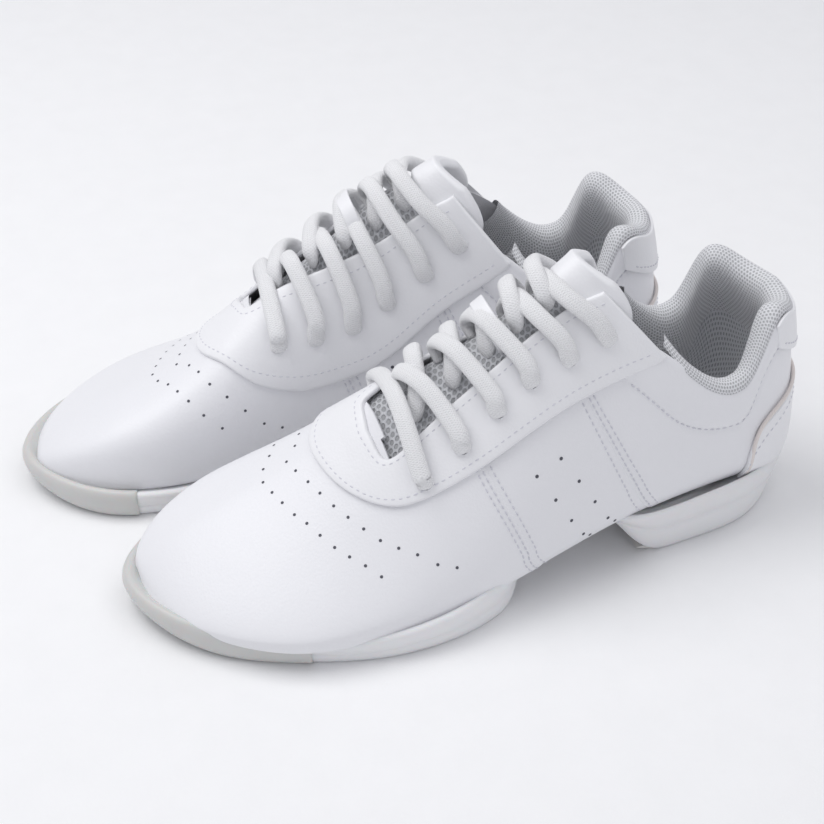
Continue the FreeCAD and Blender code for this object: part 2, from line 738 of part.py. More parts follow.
# ---------------------------------------------------------------- one shoe, then the pair
def shoe_pieces():
    fore_sole, fore_tread, bumper = fore_sole_parts()
    heel_sole, heel_tread, inlays = heel_sole_parts()
    return {
        "vamp": make_vamp(),
        "vamp_lining": make_vamp_lining(),
        "toe_puff": make_toe_puff(),
        "lateral_saddle": make_saddle(saddle_domain),
        "medial_saddle": make_saddle(inner_side(saddle_domain)),
        "lateral_quarter": make_quarter(quarter_domain),
        "medial_quarter": make_quarter(inner_side(quarter_domain)),
        "eyestay": make_eyestay(),
        "heel_overlay": make_heel_overlay(),
        "heel_piping": make_heel_piping(),
        "heel_tab": make_heel_tab(),
        "heel_counter": make_heel_counter(),
        "collar_padding": make_collar_padding(),
        "collar_lining": make_collar_lining(),
        "tongue_body": make_tongue_body(),
        "tongue_top": make_tongue_top(),
        "lace_keeper": make_lace_keeper(),
        "lace": make_lace(),
        "toe_bumper": bumper,
        "forefoot_sole": fore_sole,
        "forefoot_tread": fore_tread,
        "heel_sole": heel_sole,
        "heel_tread": heel_tread,
        "heel_inlay": inlays,
        "forefoot_board": bottom_sheet(14, 126, -2.2, -0.3),
        "arch_bridge": bottom_sheet(127.5, 184.5, -1.8, -0.3, 7),
        "heel_board": bottom_sheet(186, 204, -2.2, -0.3, 7, 1.68),
        "sockliner": bottom_sheet(27, 206, -7.4, -4.5, 21, 1.60),
    }


for name, shape in shoe_pieces().items():
    left = shape.copy()
    left.translate(Vector(0, STAGGER, 0))
    left.exportStep("parts/left_%s.step" % name)
    right = shape.mirror(Vector(0, 0, 0), Vector(1, 0, 0))
    right.translate(Vector(0, -STAGGER, 0))
    right.exportStep("parts/right_%s.step" % name)
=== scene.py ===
import bpy
import math
import numpy as np
from mathutils import Matrix, Vector


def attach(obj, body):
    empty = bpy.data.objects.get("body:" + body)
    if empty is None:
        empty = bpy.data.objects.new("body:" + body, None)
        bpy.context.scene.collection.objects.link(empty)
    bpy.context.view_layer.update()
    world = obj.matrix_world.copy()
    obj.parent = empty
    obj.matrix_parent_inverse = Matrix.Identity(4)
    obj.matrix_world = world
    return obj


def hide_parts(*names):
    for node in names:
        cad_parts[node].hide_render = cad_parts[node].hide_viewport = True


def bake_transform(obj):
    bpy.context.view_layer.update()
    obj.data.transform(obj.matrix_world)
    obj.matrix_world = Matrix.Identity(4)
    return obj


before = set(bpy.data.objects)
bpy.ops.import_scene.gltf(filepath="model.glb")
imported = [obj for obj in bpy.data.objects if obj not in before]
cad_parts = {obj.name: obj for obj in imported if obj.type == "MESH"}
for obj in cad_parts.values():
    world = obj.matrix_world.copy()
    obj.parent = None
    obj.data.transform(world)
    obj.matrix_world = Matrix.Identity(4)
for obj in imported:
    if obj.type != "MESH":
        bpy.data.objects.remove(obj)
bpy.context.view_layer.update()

# ---------------------------------------------------------------- one shoe's own coordinates
# l from the heel back to the toe, m across (positive to the outer side), z up; millimetres
HALF_SPACING = 46.5      # from the middle of the pair to each shoe's own middle line
TOE_OUT = math.radians(6.0)
PIVOT_L = 131.0          # each shoe turns out about this place along it
STAGGER = 15.5           # each shoe stands this far off the pair's middle, in opposite ways


def place(p, side=1):
    """Shoe coordinates in millimetres to the row frame in metres."""
    p = np.asarray(p, float)
    l = p[..., 0] - PIVOT_L
    forward = l * math.cos(TOE_OUT) - p[..., 1] * math.sin(TOE_OUT)
    outward = l * math.sin(TOE_OUT) + p[..., 1] * math.cos(TOE_OUT)
    x = side * (HALF_SPACING + outward)
    return np.stack([x, side * STAGGER - forward, p[..., 2]], -1) / 1000


def spline(pairs):
    """A natural cubic spline through (x, y) pairs, held constant beyond its ends."""
    x = np.array([p[0] for p in pairs], float)
    y = np.array([p[1] for p in pairs], float)
    n = len(x)
    h = np.diff(x)
    matrix = np.zeros((n, n))
    right = np.zeros(n)
    matrix[0, 0] = matrix[-1, -1] = 1
    for i in range(1, n - 1):
        matrix[i, i - 1:i + 2] = h[i - 1], 2 * (h[i - 1] + h[i]), h[i]
        right[i] = 6 * ((y[i + 1] - y[i]) / h[i] - (y[i] - y[i - 1]) / h[i - 1])
    bend = np.linalg.solve(matrix, right)

    def value(v):
        v = np.clip(np.asarray(v, float), x[0], x[-1])
        i = np.clip(np.searchsorted(x, v) - 1, 0, n - 2)
        a = (x[i + 1] - v) / h[i]
        b = 1 - a
        curve = ((a ** 3 - a) * bend[i] + (b ** 3 - b) * bend[i + 1]) * h[i] ** 2 / 6
        return a * y[i] + b * y[i + 1] + curve

    return value


def running(points):
    """The length run along a line of points, from 0 at its first one."""
    return np.concatenate([[0], np.cumsum(np.linalg.norm(np.diff(points, axis=0), axis=1))])


def unit(vectors):
    return vectors / np.linalg.norm(vectors, axis=-1, keepdims=True)


def path(points):
    """A smooth path through points of any width, over 0 to 1."""
    points = np.asarray(points, float)
    marks = np.linspace(0, 1, len(points))
    curves = [spline(list(zip(marks, points[:, k]))) for k in range(points.shape[1])]
    return lambda s: np.stack([curve(s) for curve in curves], -1)


# ---------------------------------------------------------------- the last
# The last is cut by sections that turn round the instep. q numbers them, from 0 at the toe to
# 275 at the top of the heel. w goes round a section: 0 at the ridge on top, 1 at the widest
# place, 2 in the middle of the underside; the inner side has negative w, or 4 - w.
bottom_l = spline(((0, 264), (50, 212), (100, 162), (125, 136), (150, 106), (175, 70),
                   (198, 26), (213, 2), (228, -4), (250, -3), (275, 2)))
bottom_z = spline(((0, 8), (50, 6), (75, 5.5), (100, 6), (125, 9.5), (150, 14.5), (175, 19),
                   (198, 18), (213, 20), (228, 40), (250, 70), (275, 98)))
ridge_l = spline(((0, 264), (50, 212), (100, 162), (125, 140), (150, 122), (175, 108),
                  (200, 98), (225, 92), (250, 88), (275, 84)))
ridge_z = spline(((0, 30), (25, 35), (50, 45), (75, 60), (100, 79), (125, 94.5), (150, 108),
                  (175, 117), (200, 124), (225, 128), (250, 132), (275, 136)))
outer_half = spline(((0, 33), (25, 42.5), (50, 48.5), (75, 50), (100, 49), (125, 46),
                     (150, 41.5), (175, 36.5), (200, 32.8), (225, 31), (250, 31), (275, 31.5)))
inner_half = spline(((0, 46), (25, 48), (50, 46.5), (75, 42.5), (100, 37), (125, 32),
                     (150, 30), (175, 30.5), (200, 31), (225, 31), (250, 31), (275, 31.5)))
ridge_shift = spline(((0, -16), (25, -17), (50, -16), (75, -11.5), (100, -7), (125, -3.5),
                      (150, -1), (200, 0), (275, 0)))
widest_height = spline(((0, .30), (50, .24), (100, .19), (150, .20), (175, .22), (200, .30),
                        (225, .38), (250, .42), (275, .45)))
squareness = spline(((0, 3.6), (50, 4.6), (100, 4.6), (150, 4.2), (175, 3.8), (200, 3.0),
                     (225, 2.3), (275, 2.1)))
side_fullness = spline(((0, .45), (50, .40), (100, .34), (150, .34), (200, .40), (275, .5)))
ridge_fullness = spline(((0, .60), (50, .52), (100, .40), (150, .36), (200, .42), (275, .55)))
TIP_SHIFT = -16.0        # where the tip of the toe stands, across and up
TIP_HEIGHT = 10.0
HEEL_Q = 140.0           # from here back the sections are shaped alike on both sides
TOE_BLEND = 60.0
OUTER_SLACK, INNER_SLACK = 0.5, 1.7


def nose(q, power, run):
    """Grows from 0 at the tip to 1 once run is passed, rounded like an ellipse."""
    return (1 - np.clip(1 - q / run, 0, 1) ** power) ** (1 / power)


def last_point(q, w):
    """The place on the last's skin: q along it from the toe, w round it (negative w is inner)."""
    q, w = np.broadcast_arrays(np.asarray(q, float), np.asarray(w, float))
    w = np.mod(w, 4)
    outer = w <= 2
    t = np.where(outer, w, 4 - w)
    wide = nose(q, 2.3, 62)
    z0 = TIP_HEIGHT + (bottom_z(q) - TIP_HEIGHT) * nose(q, 2.2, 30)
    z1 = TIP_HEIGHT + (ridge_z(q) - TIP_HEIGHT) * nose(q, 2.1, 40)
    half = np.where(outer, TIP_SHIFT + (outer_half(q) - TIP_SHIFT) * wide,
                    TIP_SHIFT - (inner_half(q) + TIP_SHIFT) * wide)
    top_m = TIP_SHIFT + (ridge_shift(q) - TIP_SHIFT) * wide
    low_m = TIP_SHIFT * (1 - wide)
    hm = widest_height(q)
    fade = np.clip((HEEL_Q - q) / TOE_BLEND, 0, 1)
    slack = np.where(outer, OUTER_SLACK, INNER_SLACK) * fade + 1 - fade
    k1 = side_fullness(q) * slack
    k2 = ridge_fullness(q) * slack
    u = np.clip(1 - t, 0, 1)
    a, b, c, d = (1 - u) ** 3, 3 * (1 - u) ** 2 * u, 3 * (1 - u) * u ** 2, u ** 3
    h_up = a * hm + b * (hm + k1 * (1 - hm)) + c + d
    m_up = (a + b) * half + c * (top_m + k2 * (half - top_m)) + d * top_m
    angle = np.clip(2 - t, 0, 1) * np.pi / 2
    n = squareness(q)
    m_low = low_m + (half - low_m) * np.clip(np.sin(angle), 0, 1) ** (2 / n)
    h_low = hm * (1 - np.clip(np.cos(angle), 0, 1) ** (2 / n))
    up = t <= 1
    h = np.where(up, h_up, h_low)
    m = np.where(up, m_up, m_low)
    return np.stack([bottom_l(q) + (ridge_l(q) - bottom_l(q)) * h, m, z0 + (z1 - z0) * h], -1)


def skin_normal(q, w):
    """The outward direction of the skin."""
    along = last_point(q + 0.6, w) - last_point(np.maximum(q - 0.6, 0.4), w)
    around = last_point(q, w + 0.012) - last_point(q, w - 0.012)
    normal = np.cross(around, along)
    return normal / np.maximum(np.linalg.norm(normal, axis=-1, keepdims=True), 1e-9)


def skin(q, w, offset=0.0):
    """The place offset millimetres outside the last's skin."""
    q, w = np.broadcast_arrays(np.asarray(q, float), np.asarray(w, float))
    return last_point(q, w) + skin_normal(q, w) * np.asarray(offset, float)[..., None]


UPPER_Q, UPPER_W = np.meshgrid(np.arange(1, 236, 0.5), np.arange(-1.1, 1.1, 0.01), indexing="ij")
UPPER_SKIN = last_point(UPPER_Q, UPPER_W)


def from_above(points):
    """The (q, w) under each (l, m) point of a plan view."""
    found = []
    for l, m in points:
        gap = (UPPER_SKIN[..., 0] - l) ** 2 + (UPPER_SKIN[..., 1] - m) ** 2
        k = np.unravel_index(np.argmin(gap), gap.shape)
        found.append((UPPER_Q[k], UPPER_W[k]))
    return found


def at_width(q, m):
    """Signed w on the upper half of section q whose width is m."""
    w = np.linspace(-1, 1, 801)
    return float(np.interp(m, last_point(q, w)[:, 1], w))


def between(low, high, sign=1):
    """A patch ruled from one (q, w) path to another; sign -1 puts it on the inner side."""
    def domain(s, r):
        a = low(s)
        b = high(s)
        return (a[..., 0] + (b[..., 0] - a[..., 0]) * r,
                sign * (a[..., 1] + (b[..., 1] - a[..., 1]) * r))
    return domain


# ---------------------------------------------------------------- mesh building
pieces = []


def add(name, verts, faces, uvs, material, rides, slot=None, nodes=()):
    """Keeps one piece of a shoe: rides is a body it is parented to, or bend, which leaves it in
    place with no parent.
    """
    pieces.append(dict(name=name, verts=np.asarray(verts, float), faces=faces, uvs=uvs,
                       material=material, rides=rides, slot=slot, nodes=nodes))


def quads(nu, nv, base=0, around=False, flip=False):
    """Quads of a grid of nu rows and nv columns, and each corner's own (row, column)."""
    i, j = np.meshgrid(np.arange(nu - 1), np.arange(nv if around else nv - 1), indexing="ij")
    i, j = i.ravel(), j.ravel()
    corner = [(i, j), (i + 1, j), (i + 1, j + 1), (i, j + 1)]
    if flip:
        corner = corner[::-1]
    faces = np.stack([base + a * nv + np.mod(b, nv) for a, b in corner], -1)
    return faces, corner


def arc_uv(grid):
    """Running lengths along both directions of a grid of points, in millimetres."""
    du = np.linalg.norm(np.diff(grid, axis=0), axis=-1).mean(1)
    dv = np.linalg.norm(np.diff(grid, axis=1), axis=-1).mean(0)
    u = np.concatenate([[0], np.cumsum(du)])
    v = np.concatenate([[0], np.cumsum(dv)])
    return np.meshgrid(u, v, indexing="ij")


EDGE_STEPS = (0, .12, .35, .7, 1.1, 1.8)


def marks(count, length, edge):
    """Places from 0 to 1 that crowd at both ends, where an edge is rounded."""
    crowd = np.array(EDGE_STEPS) * edge / length
    middle = np.linspace(crowd[-1] * 1.6, 1 - crowd[-1] * 1.6, count)
    return np.concatenate([crowd, middle, 1 - crowd[::-1]])


def sheet_mesh(domain, top, thick, nu, nv, edge=0.7, sink=0.5, sink_run=3.0, drop=None):
    """A closed sheet over the skin: rounded edges that sink a little into their seams.

    top is the height of its upper side, drop says which places are cut away."""
    s0 = np.linspace(0, 1, 25)
    rough = skin(*domain(*np.meshgrid(s0, s0, indexing="ij")))
    u, v = arc_uv(rough)
    s = marks(nu, u[-1, 0], edge)
    r = marks(nv, v[0, -1], edge)
    S, R = np.meshgrid(s, r, indexing="ij")
    q, w = domain(S, R)
    base = skin(q, w)
    u, v = arc_uv(base)
    inside = np.minimum(np.minimum(u, u[-1, 0] - u), np.minimum(v, v[0, -1] - v))
    full = top(S, R) if callable(top) else np.full(S.shape, float(top))
    roll = edge * (1 - np.sqrt(1 - (1 - np.clip(inside / edge, 0, 1)) ** 2))
    lift = full - roll - sink * np.exp(-inside / sink_run)
    upper = skin(q, w, lift)
    lower = skin(q, w, np.minimum(lift - 0.05, full - thick))
    nu, nv = S.shape
    f0, c0 = quads(nu, nv)
    f1, c1 = quads(nu, nv, nu * nv, flip=True)
    if drop is not None:
        keep = ~drop(base)
        cell = keep[:-1, :-1] & keep[1:, :-1] & keep[1:, 1:] & keep[:-1, 1:]
        cell = cell.ravel()
        f0, f1 = f0[cell], f1[cell]
        c0 = [(a[cell], b[cell]) for a, b in c0]
        c1 = [(a[cell], b[cell]) for a, b in c1]
    uv = np.stack([u, v], -1)
    uvs = [np.stack([uv[a, b] for a, b in c], 1) for c in (c0, c1)]
    rim = ([(i, 0) for i in range(nu)] + [(nu - 1, j) for j in range(1, nv)]
           + [(i, nv - 1) for i in range(nu - 2, -1, -1)] + [(0, j) for j in range(nv - 2, 0, -1)])
    ring = np.array([a * nv + b for a, b in rim])
    nxt = np.roll(ring, -1)
    walls = np.stack([nxt, ring, ring + nu * nv, nxt + nu * nv], -1)
    wall_uv = np.zeros((len(walls), 4, 2))
    verts = np.concatenate([upper.reshape(-1, 3), lower.reshape(-1, 3)])
    return verts, [f0, f1, walls], uvs + [wall_uv]


def tube_mesh(points, normals, width, height, steps, ring=14, taper=0.0):
    """A soft oval cord along points; its flat side faces the normals."""
    centre = path(points)
    facing = path(normals)
    s = np.linspace(0, 1, steps)
    p = centre(s)
    along = unit(np.gradient(p, axis=0))
    up = facing(s)
    up = unit(up - along * (up * along).sum(1, keepdims=True))
    side = np.cross(along, up)
    angle = np.linspace(0, 2 * np.pi, ring, endpoint=False)
    size = 1 - taper * np.abs(2 * s - 1) ** 6
    cs = np.sign(np.cos(angle)) * np.abs(np.cos(angle)) ** 0.8
    sn = np.sign(np.sin(angle)) * np.abs(np.sin(angle)) ** 0.9
    body = (p[:, None] + side[:, None] * (cs * width / 2)[None, :, None] * size[:, None, None]
            + up[:, None] * (sn * height / 2)[None, :, None] * size[:, None, None])
    run = running(p)
    faces, corner = quads(steps, ring, around=True)
    girth = np.linspace(0, width * 1.3 + height * 1.3, ring + 1)
    uv = np.stack([np.stack([run[a], girth[b]], -1) for a, b in corner], 1)
    verts = body.reshape(-1, 3)
    n = len(verts)
    verts = np.concatenate([verts, p[:1], p[-1:]])
    j = np.arange(ring)
    k = np.mod(j + 1, ring)
    cap0 = np.stack([np.full(ring, n), j, k, k], -1)
    last = (steps - 1) * ring
    cap1 = np.stack([np.full(ring, n + 1), last + k, last + j, last + j], -1)
    caps = np.concatenate([cap0, cap1])
    return verts, [faces, caps], [uv, np.zeros((len(caps), 4, 2))]


def joined(meshes):
    """Several meshes as one."""
    verts, faces, uvs, base = [], [], [], 0
    for v, f, t in meshes:
        verts.append(v)
        faces += [g + base for g in f]
        uvs += t
        base += len(v)
    return np.concatenate(verts), faces, uvs


STITCH_PITCH = 2.9
STITCH_LENGTH = 2.1
THREAD_WIDTH = 0.62
THREAD_DIP = 0.22        # how far a stitch's ends sink below its middle
STITCH_SHAPE = ((-1, .15), (-.8, .7), (-.3, 1), (.3, 1), (.8, .7), (1, .15))  # along, fatness
THREAD_SIDES = 8


def stitches(q, w, offset):
    """A row of short thread stitches along a dense (q, w) line."""
    points = skin(q, w, offset)
    normals = skin_normal(q, w)
    run = running(points)
    count = max(int(run[-1] / STITCH_PITCH), 1)
    out = []
    x, fat = np.array(STITCH_SHAPE).T
    angle = np.linspace(0, 2 * np.pi, THREAD_SIDES, endpoint=False)
    faces, corner = quads(len(x), THREAD_SIDES, around=True)
    for k in range(count):
        t = (k + 0.5) * STITCH_PITCH
        c, a, b = (np.array([np.interp(t + d, run, points[:, i]) for i in range(3)])
                   for d in (0, -0.7, 0.7))
        up = np.array([np.interp(t, run, normals[:, i]) for i in range(3)])
        along = (b - a) / max(np.linalg.norm(b - a), 1e-6)
        up = unit(up - along * (up @ along))
        side = np.cross(along, up)
        dip = -THREAD_DIP * np.abs(x) ** 2
        body = (c + along * (x * STITCH_LENGTH / 2)[:, None, None] + up * dip[:, None, None]
                + (side * np.cos(angle)[:, None] * THREAD_WIDTH / 2
                   + up * np.sin(angle)[:, None] * THREAD_WIDTH / 2) * fat[:, None, None])
        uv = np.stack([np.stack([x[i] * STITCH_LENGTH / 2, j * 0.2], -1) for i, j in corner], 1)
        out.append((body.reshape(-1, 3), [faces], [uv]))
    return joined(out)


DOT_SIDES = 14


def dots(qw, offset, radius):
    """Small round holes drawn as dark discs on the skin: painted shade in place of the open holes.
    """
    out = []
    angle = np.linspace(0, 2 * np.pi, DOT_SIDES, endpoint=False)
    j = np.arange(DOT_SIDES)
    hub = np.full(DOT_SIDES, DOT_SIDES)
    faces = np.stack([j, np.mod(j + 1, DOT_SIDES), hub, hub], -1)
    for q, w in qw:
        c = skin(q, w, offset)
        n = skin_normal(q, w)
        a = unit(np.cross(n, [0, 0, 1.0]))
        b = np.cross(n, a)
        ring = c + radius * (np.cos(angle)[:, None] * a + np.sin(angle)[:, None] * b)
        verts = np.concatenate([ring, [c]])
        out.append((verts, [faces], [np.zeros((DOT_SIDES, 4, 2))]))
    return joined(out)


def evenly(points, count):
    """count places at equal steps along a smooth plan curve."""
    curve = path(points)(np.linspace(0, 1, 400))
    run = running(curve)
    t = np.linspace(0, run[-1], count)
    return np.stack([np.interp(t, run, curve[:, k]) for k in range(2)], -1)


# ---------------------------------------------------------------- materials
def shader(name, colour, roughness):
    """A new material, its node tree and its surface node."""
    mat = bpy.data.materials.new(name)
    mat.use_nodes = True
    tree = mat.node_tree
    bsdf = tree.nodes["Principled BSDF"]
    bsdf.inputs["Roughness"].default_value = roughness
    bsdf.inputs["Base Color"].default_value = (*colour, 1)
    return mat, tree, bsdf


def node(tree, kind, inputs=(), **settings):
    """A new node; each input is given a value or another node's output."""
    made = tree.nodes.new(kind)
    for key, value in settings.items():
        setattr(made, key, value)
    for key, value in dict(inputs).items():
        if isinstance(value, bpy.types.NodeSocket):
            tree.links.new(value, made.inputs[key])
        else:
            made.inputs[key].default_value = value
    return made


def maths(tree, operation, a, b=0.0):
    return node(tree, "ShaderNodeMath", {0: a, 1: b}, operation=operation).outputs[0]


def darker_mix(tree, bsdf, share, colour, dark):
    """Base colour between colour and a darker one, by share."""
    mix = node(tree, "ShaderNodeMix", {0: share}, data_type="RGBA")
    mix.inputs[6].default_value = (*[c * dark for c in colour], 1)
    mix.inputs[7].default_value = (*colour, 1)
    tree.links.new(mix.outputs[2], bsdf.inputs["Base Color"])


def tinted(tree, bsdf, coords, colour, dark, scale):
    """Slow colour and gloss variation over the surface."""
    cloud = node(tree, "ShaderNodeTexNoise", {"Vector": coords, "Scale": scale, "Detail": 4.0})
    darker_mix(tree, bsdf, cloud.outputs["Fac"], colour, dark)
    gloss = node(tree, "ShaderNodeMapRange", {0: cloud.outputs["Fac"]})
    rough = bsdf.inputs["Roughness"].default_value
    gloss.inputs[3].default_value = rough - 0.06
    gloss.inputs[4].default_value = rough + 0.08
    tree.links.new(gloss.outputs[0], bsdf.inputs["Roughness"])


def bumped(tree, bsdf, height, distance, strength=1.0, after=None):
    """Fine relief, distance metres deep, on top of another relief if there is one."""
    bump = node(tree, "ShaderNodeBump", {"Height": height, "Distance": distance,
                                         "Strength": strength})
    if after is not None:
        tree.links.new(after, bump.inputs["Normal"])
    tree.links.new(bump.outputs[0], bsdf.inputs["Normal"])
    return bump.outputs[0]


def leather(name, colour, roughness):
    """Smooth leather: slow waves, then pores and fine wrinkles."""
    mat, tree, bsdf = shader(name, colour, roughness)
    coords = node(tree, "ShaderNodeTexCoord").outputs["Object"]
    tinted(tree, bsdf, coords, colour, 0.975, 30.0)
    pores = node(tree, "ShaderNodeTexVoronoi", {"Vector": coords, "Scale": 950.0})
    wrinkle = node(tree, "ShaderNodeTexNoise", {"Vector": coords, "Scale": 320.0, "Detail": 5.0})
    slow = node(tree, "ShaderNodeTexNoise", {"Vector": coords, "Scale": 26.0, "Detail": 2.0})
    fine = maths(tree, "ADD", pores.outputs["Distance"], wrinkle.outputs["Fac"])
    first = bumped(tree, bsdf, slow.outputs["Fac"], 0.0012, 0.5)
    bumped(tree, bsdf, fine, 0.00007, 0.7, first)
    bsdf.inputs["Sheen Weight"].default_value = 0.05
    bsdf.inputs["Coat Weight"].default_value = 0.06
    bsdf.inputs["Coat Roughness"].default_value = 0.45
    return mat


def hexagons(tree, pitch):
    """0 in the middle of each honeycomb hole and larger on the yarn, from UVs in millimetres."""
    uv = node(tree, "ShaderNodeTexCoord").outputs["UV"]
    scaled = node(tree, "ShaderNodeVectorMath", {0: uv, 1: (1 / pitch,) * 3}, operation="MULTIPLY")
    near = []
    half_cell = (0.5, 0.866, 0)
    for shift in ((0, 0, 0), half_cell):
        moved = node(tree, "ShaderNodeVectorMath", {0: scaled.outputs[0], 1: shift})
        wrapped = node(tree, "ShaderNodeVectorMath",
                       {0: moved.outputs[0], 1: (1, 1.732, 1)}, operation="MODULO")
        from_centre = node(tree, "ShaderNodeVectorMath",
                           {0: wrapped.outputs[0], 1: half_cell}, operation="SUBTRACT")
        length = node(tree, "ShaderNodeVectorMath", {0: from_centre.outputs[0]},
                      operation="LENGTH")
        near.append(length.outputs["Value"])
    return maths(tree, "MINIMUM", near[0], near[1])


def honeycomb(name, colour, pitch, hole=0.30, depth=0.0004):
    """Knitted mesh with a hole every pitch millimetres; each hole is painted darker as shade."""
    mat, tree, bsdf = shader(name, colour, 0.85)
    cell = hexagons(tree, pitch)
    edge = node(tree, "ShaderNodeMapRange", {0: cell, 1: hole - 0.08, 2: hole + 0.08},
                interpolation_type="SMOOTHSTEP")
    fuzz = node(tree, "ShaderNodeTexNoise", {"Scale": 1400.0, "Detail": 3.0})
    # painted shade: the colour drops to 0.62 of the yarn's in each hole
    darker_mix(tree, bsdf, edge.outputs[0], colour, 0.62)
    height = maths(tree, "ADD", edge.outputs[0],
                   maths(tree, "MULTIPLY", fuzz.outputs["Fac"], 0.25))
    bumped(tree, bsdf, height, depth, 0.9)
    bsdf.inputs["Sheen Weight"].default_value = 0.25
    return mat


def knit(name, colour):
    """Slanting ribs of a tubular lace, from UVs in millimetres, with painted shade in the grooves
    between them.
    """
    mat, tree, bsdf = shader(name, colour, 0.8)
    uv = node(tree, "ShaderNodeTexCoord").outputs["UV"]
    heights = []
    for turn in (0.6, -0.6):
        moved = node(tree, "ShaderNodeMapping", {"Vector": uv, "Rotation": (0, 0, turn)})
        wave = node(tree, "ShaderNodeTexWave", {"Vector": moved.outputs[0], "Scale": 0.42,
                                                "Distortion": 0.6, "Detail": 1.0})
        heights.append(wave.outputs["Fac"])
    weave = maths(tree, "MAXIMUM", heights[0], heights[1])
    fuzz = node(tree, "ShaderNodeTexNoise", {"Scale": 1800.0, "Detail": 3.0})
    total = maths(tree, "ADD", weave, maths(tree, "MULTIPLY", fuzz.outputs["Fac"], 0.5))
    # painted shade: the colour drops to 0.9 in the grooves between the ribs
    darker_mix(tree, bsdf, weave, colour, 0.9)
    bumped(tree, bsdf, total, 0.00025, 0.8)
    bsdf.inputs["Sheen Weight"].default_value = 0.4
    return mat


def rubber(name, colour, roughness, soft=0.0):
    """Moulded rubber or any plain matt stuff; soft lets some light through."""
    mat, tree, bsdf = shader(name, colour, roughness)
    coords = node(tree, "ShaderNodeTexCoord").outputs["Object"]
    tinted(tree, bsdf, coords, colour, 0.96, 60.0)
    speck = node(tree, "ShaderNodeTexNoise", {"Vector": coords, "Scale": 900.0, "Detail": 4.0})
    bumped(tree, bsdf, speck.outputs["Fac"], 0.0001, 0.5)
    bsdf.inputs["Subsurface Weight"].default_value = soft
    bsdf.inputs["Subsurface Scale"].default_value = 0.004
    return mat


WHITE = (0.86, 0.86, 0.885)
LEATHER = leather("leather", WHITE, 0.42)
OVERLAY = leather("overlay_leather", (0.88, 0.88, 0.90), 0.40)
MESH = honeycomb("mesh", (0.84, 0.845, 0.87), 1.5)
COARSE = honeycomb("tongue_mesh", (0.82, 0.83, 0.86), 2.6, 0.34, 0.0007)
LINING = honeycomb("lining", (0.80, 0.81, 0.84), 1.9)
LACE = knit("lace", (0.93, 0.93, 0.94))
THREAD = rubber("thread", (0.70, 0.70, 0.75), 0.7)
# near-black discs for the holes: painted shade inside the eyelets and perforations
HOLE_SHADE = rubber("hole", (0.10, 0.10, 0.12), 0.9)
SOLE = rubber("sole_rubber", (0.85, 0.85, 0.86), 0.45, 0.1)
BUMPER = rubber("bumper_rubber", (0.62, 0.62, 0.605), 0.38, 0.2)
TREAD = rubber("tread_rubber", (0.74, 0.73, 0.70), 0.6)
INLAY = rubber("inlay", (0.74, 0.69, 0.63), 0.4)
PIPING = leather("piping", (0.80, 0.74, 0.71), 0.45)
BOARD = rubber("board", (0.62, 0.60, 0.56), 0.8)
FOAM = honeycomb("sock_foam", (0.76, 0.765, 0.79), 1.2)

# ---------------------------------------------------------------- upper
# Seams and edges give the section q where they cross each w. Heights are above the last's skin.
FEATHER_W = 1.42         # the upper turns under the foot here
vamp_seam = spline(((0, 119), (0.5, 124), (0.82, 132.5), (1.42, 141.5)))
quarter_seam = spline(((0.5, 171.5), (1.42, 176.3)))
topline = spline(((0.4, 226), (0.54, 220.5), (0.7, 217), (0.9, 221.5), (1.08, 237),
                  (1.28, 263.5), (1.6, 272), (2.0, 274)))
collar_stitch = spline(((0.57, 189), (0.74, 194), (0.92, 201.5), (1.08, 223.5), (1.28, 247),
                        (1.6, 257), (2.0, 259)))
SEAM_START_W = 0.5       # the seams come out from under the eyestay here
UNDERLAP = 3.0           # how far the saddle runs under its neighbours
SADDLE_DROP = -0.55
THROAT_FRONT_L = 172.0
THROAT_HALF = 16.0
LEATHER_THICK = 1.3


def fold(w):
    """Brings w past the underside's middle back to the outer side's."""
    return np.minimum(w, 4 - w)


def vamp_domain(s, r):
    w = FEATHER_W * (2 * s - 1)
    tip_q = 0.5
    return tip_q + (vamp_seam(np.abs(w)) - tip_q) * r ** 1.5, w


def in_throat(p):
    """Where the vamp is cut away under the tongue and the laces."""
    behind = p[..., 0] < THROAT_FRONT_L - 3
    return behind & (np.abs(p[..., 1] + 0.5) < THROAT_HALF) & (p[..., 2] > 40)


add("vamp", *sheet_mesh(vamp_domain, 0, LEATHER_THICK, 120, 120, sink=0.35, sink_run=2.0,
                        drop=in_throat),
    LEATHER, "bend", "leather", ("vamp",))


def saddle_domain(sign):
    """The panel between the vamp and the quarter."""
    def domain(s, r):
        w = SEAM_START_W + (FEATHER_W - SEAM_START_W) * r
        q0 = vamp_seam(w) - UNDERLAP
        q1 = quarter_seam(w) + UNDERLAP
        return q0 + (q1 - q0) * s, sign * w
    return domain


def flipped(mesh):
    """Turns a mesh's faces over; for patches drawn on the inner side."""
    verts, faces, uvs = mesh
    return verts, [f[:, ::-1] for f in faces], [t[:, ::-1] for t in uvs]


feather = path(((176.7, 1.42), (188, 1.46), (199, 1.55), (208, 1.69), (214, 1.85),
                (216.5, 1.995)))
quarter_top = path(((171.9, 0.5), (190, 0.5), (206, 0.5), (214.6, 0.64), (220.8, 0.90),
                    (235.8, 1.08), (262, 1.28), (271, 1.6), (273.3, 1.995)))


def quarter_lift(domain):
    """The padded collar swells above the line of stitching."""
    def lift(s, r):
        q, w = domain(s, r)
        above = q - collar_stitch(np.abs(w))
        room = np.maximum(topline(np.abs(w)) - collar_stitch(np.abs(w)), 1)
        x = np.clip(above / room, 0, 1)
        groove = -0.5 * np.exp(-(above / 1.6) ** 2)
        return 1.5 * np.sin(np.pi * x ** 0.8) + groove
    return lift


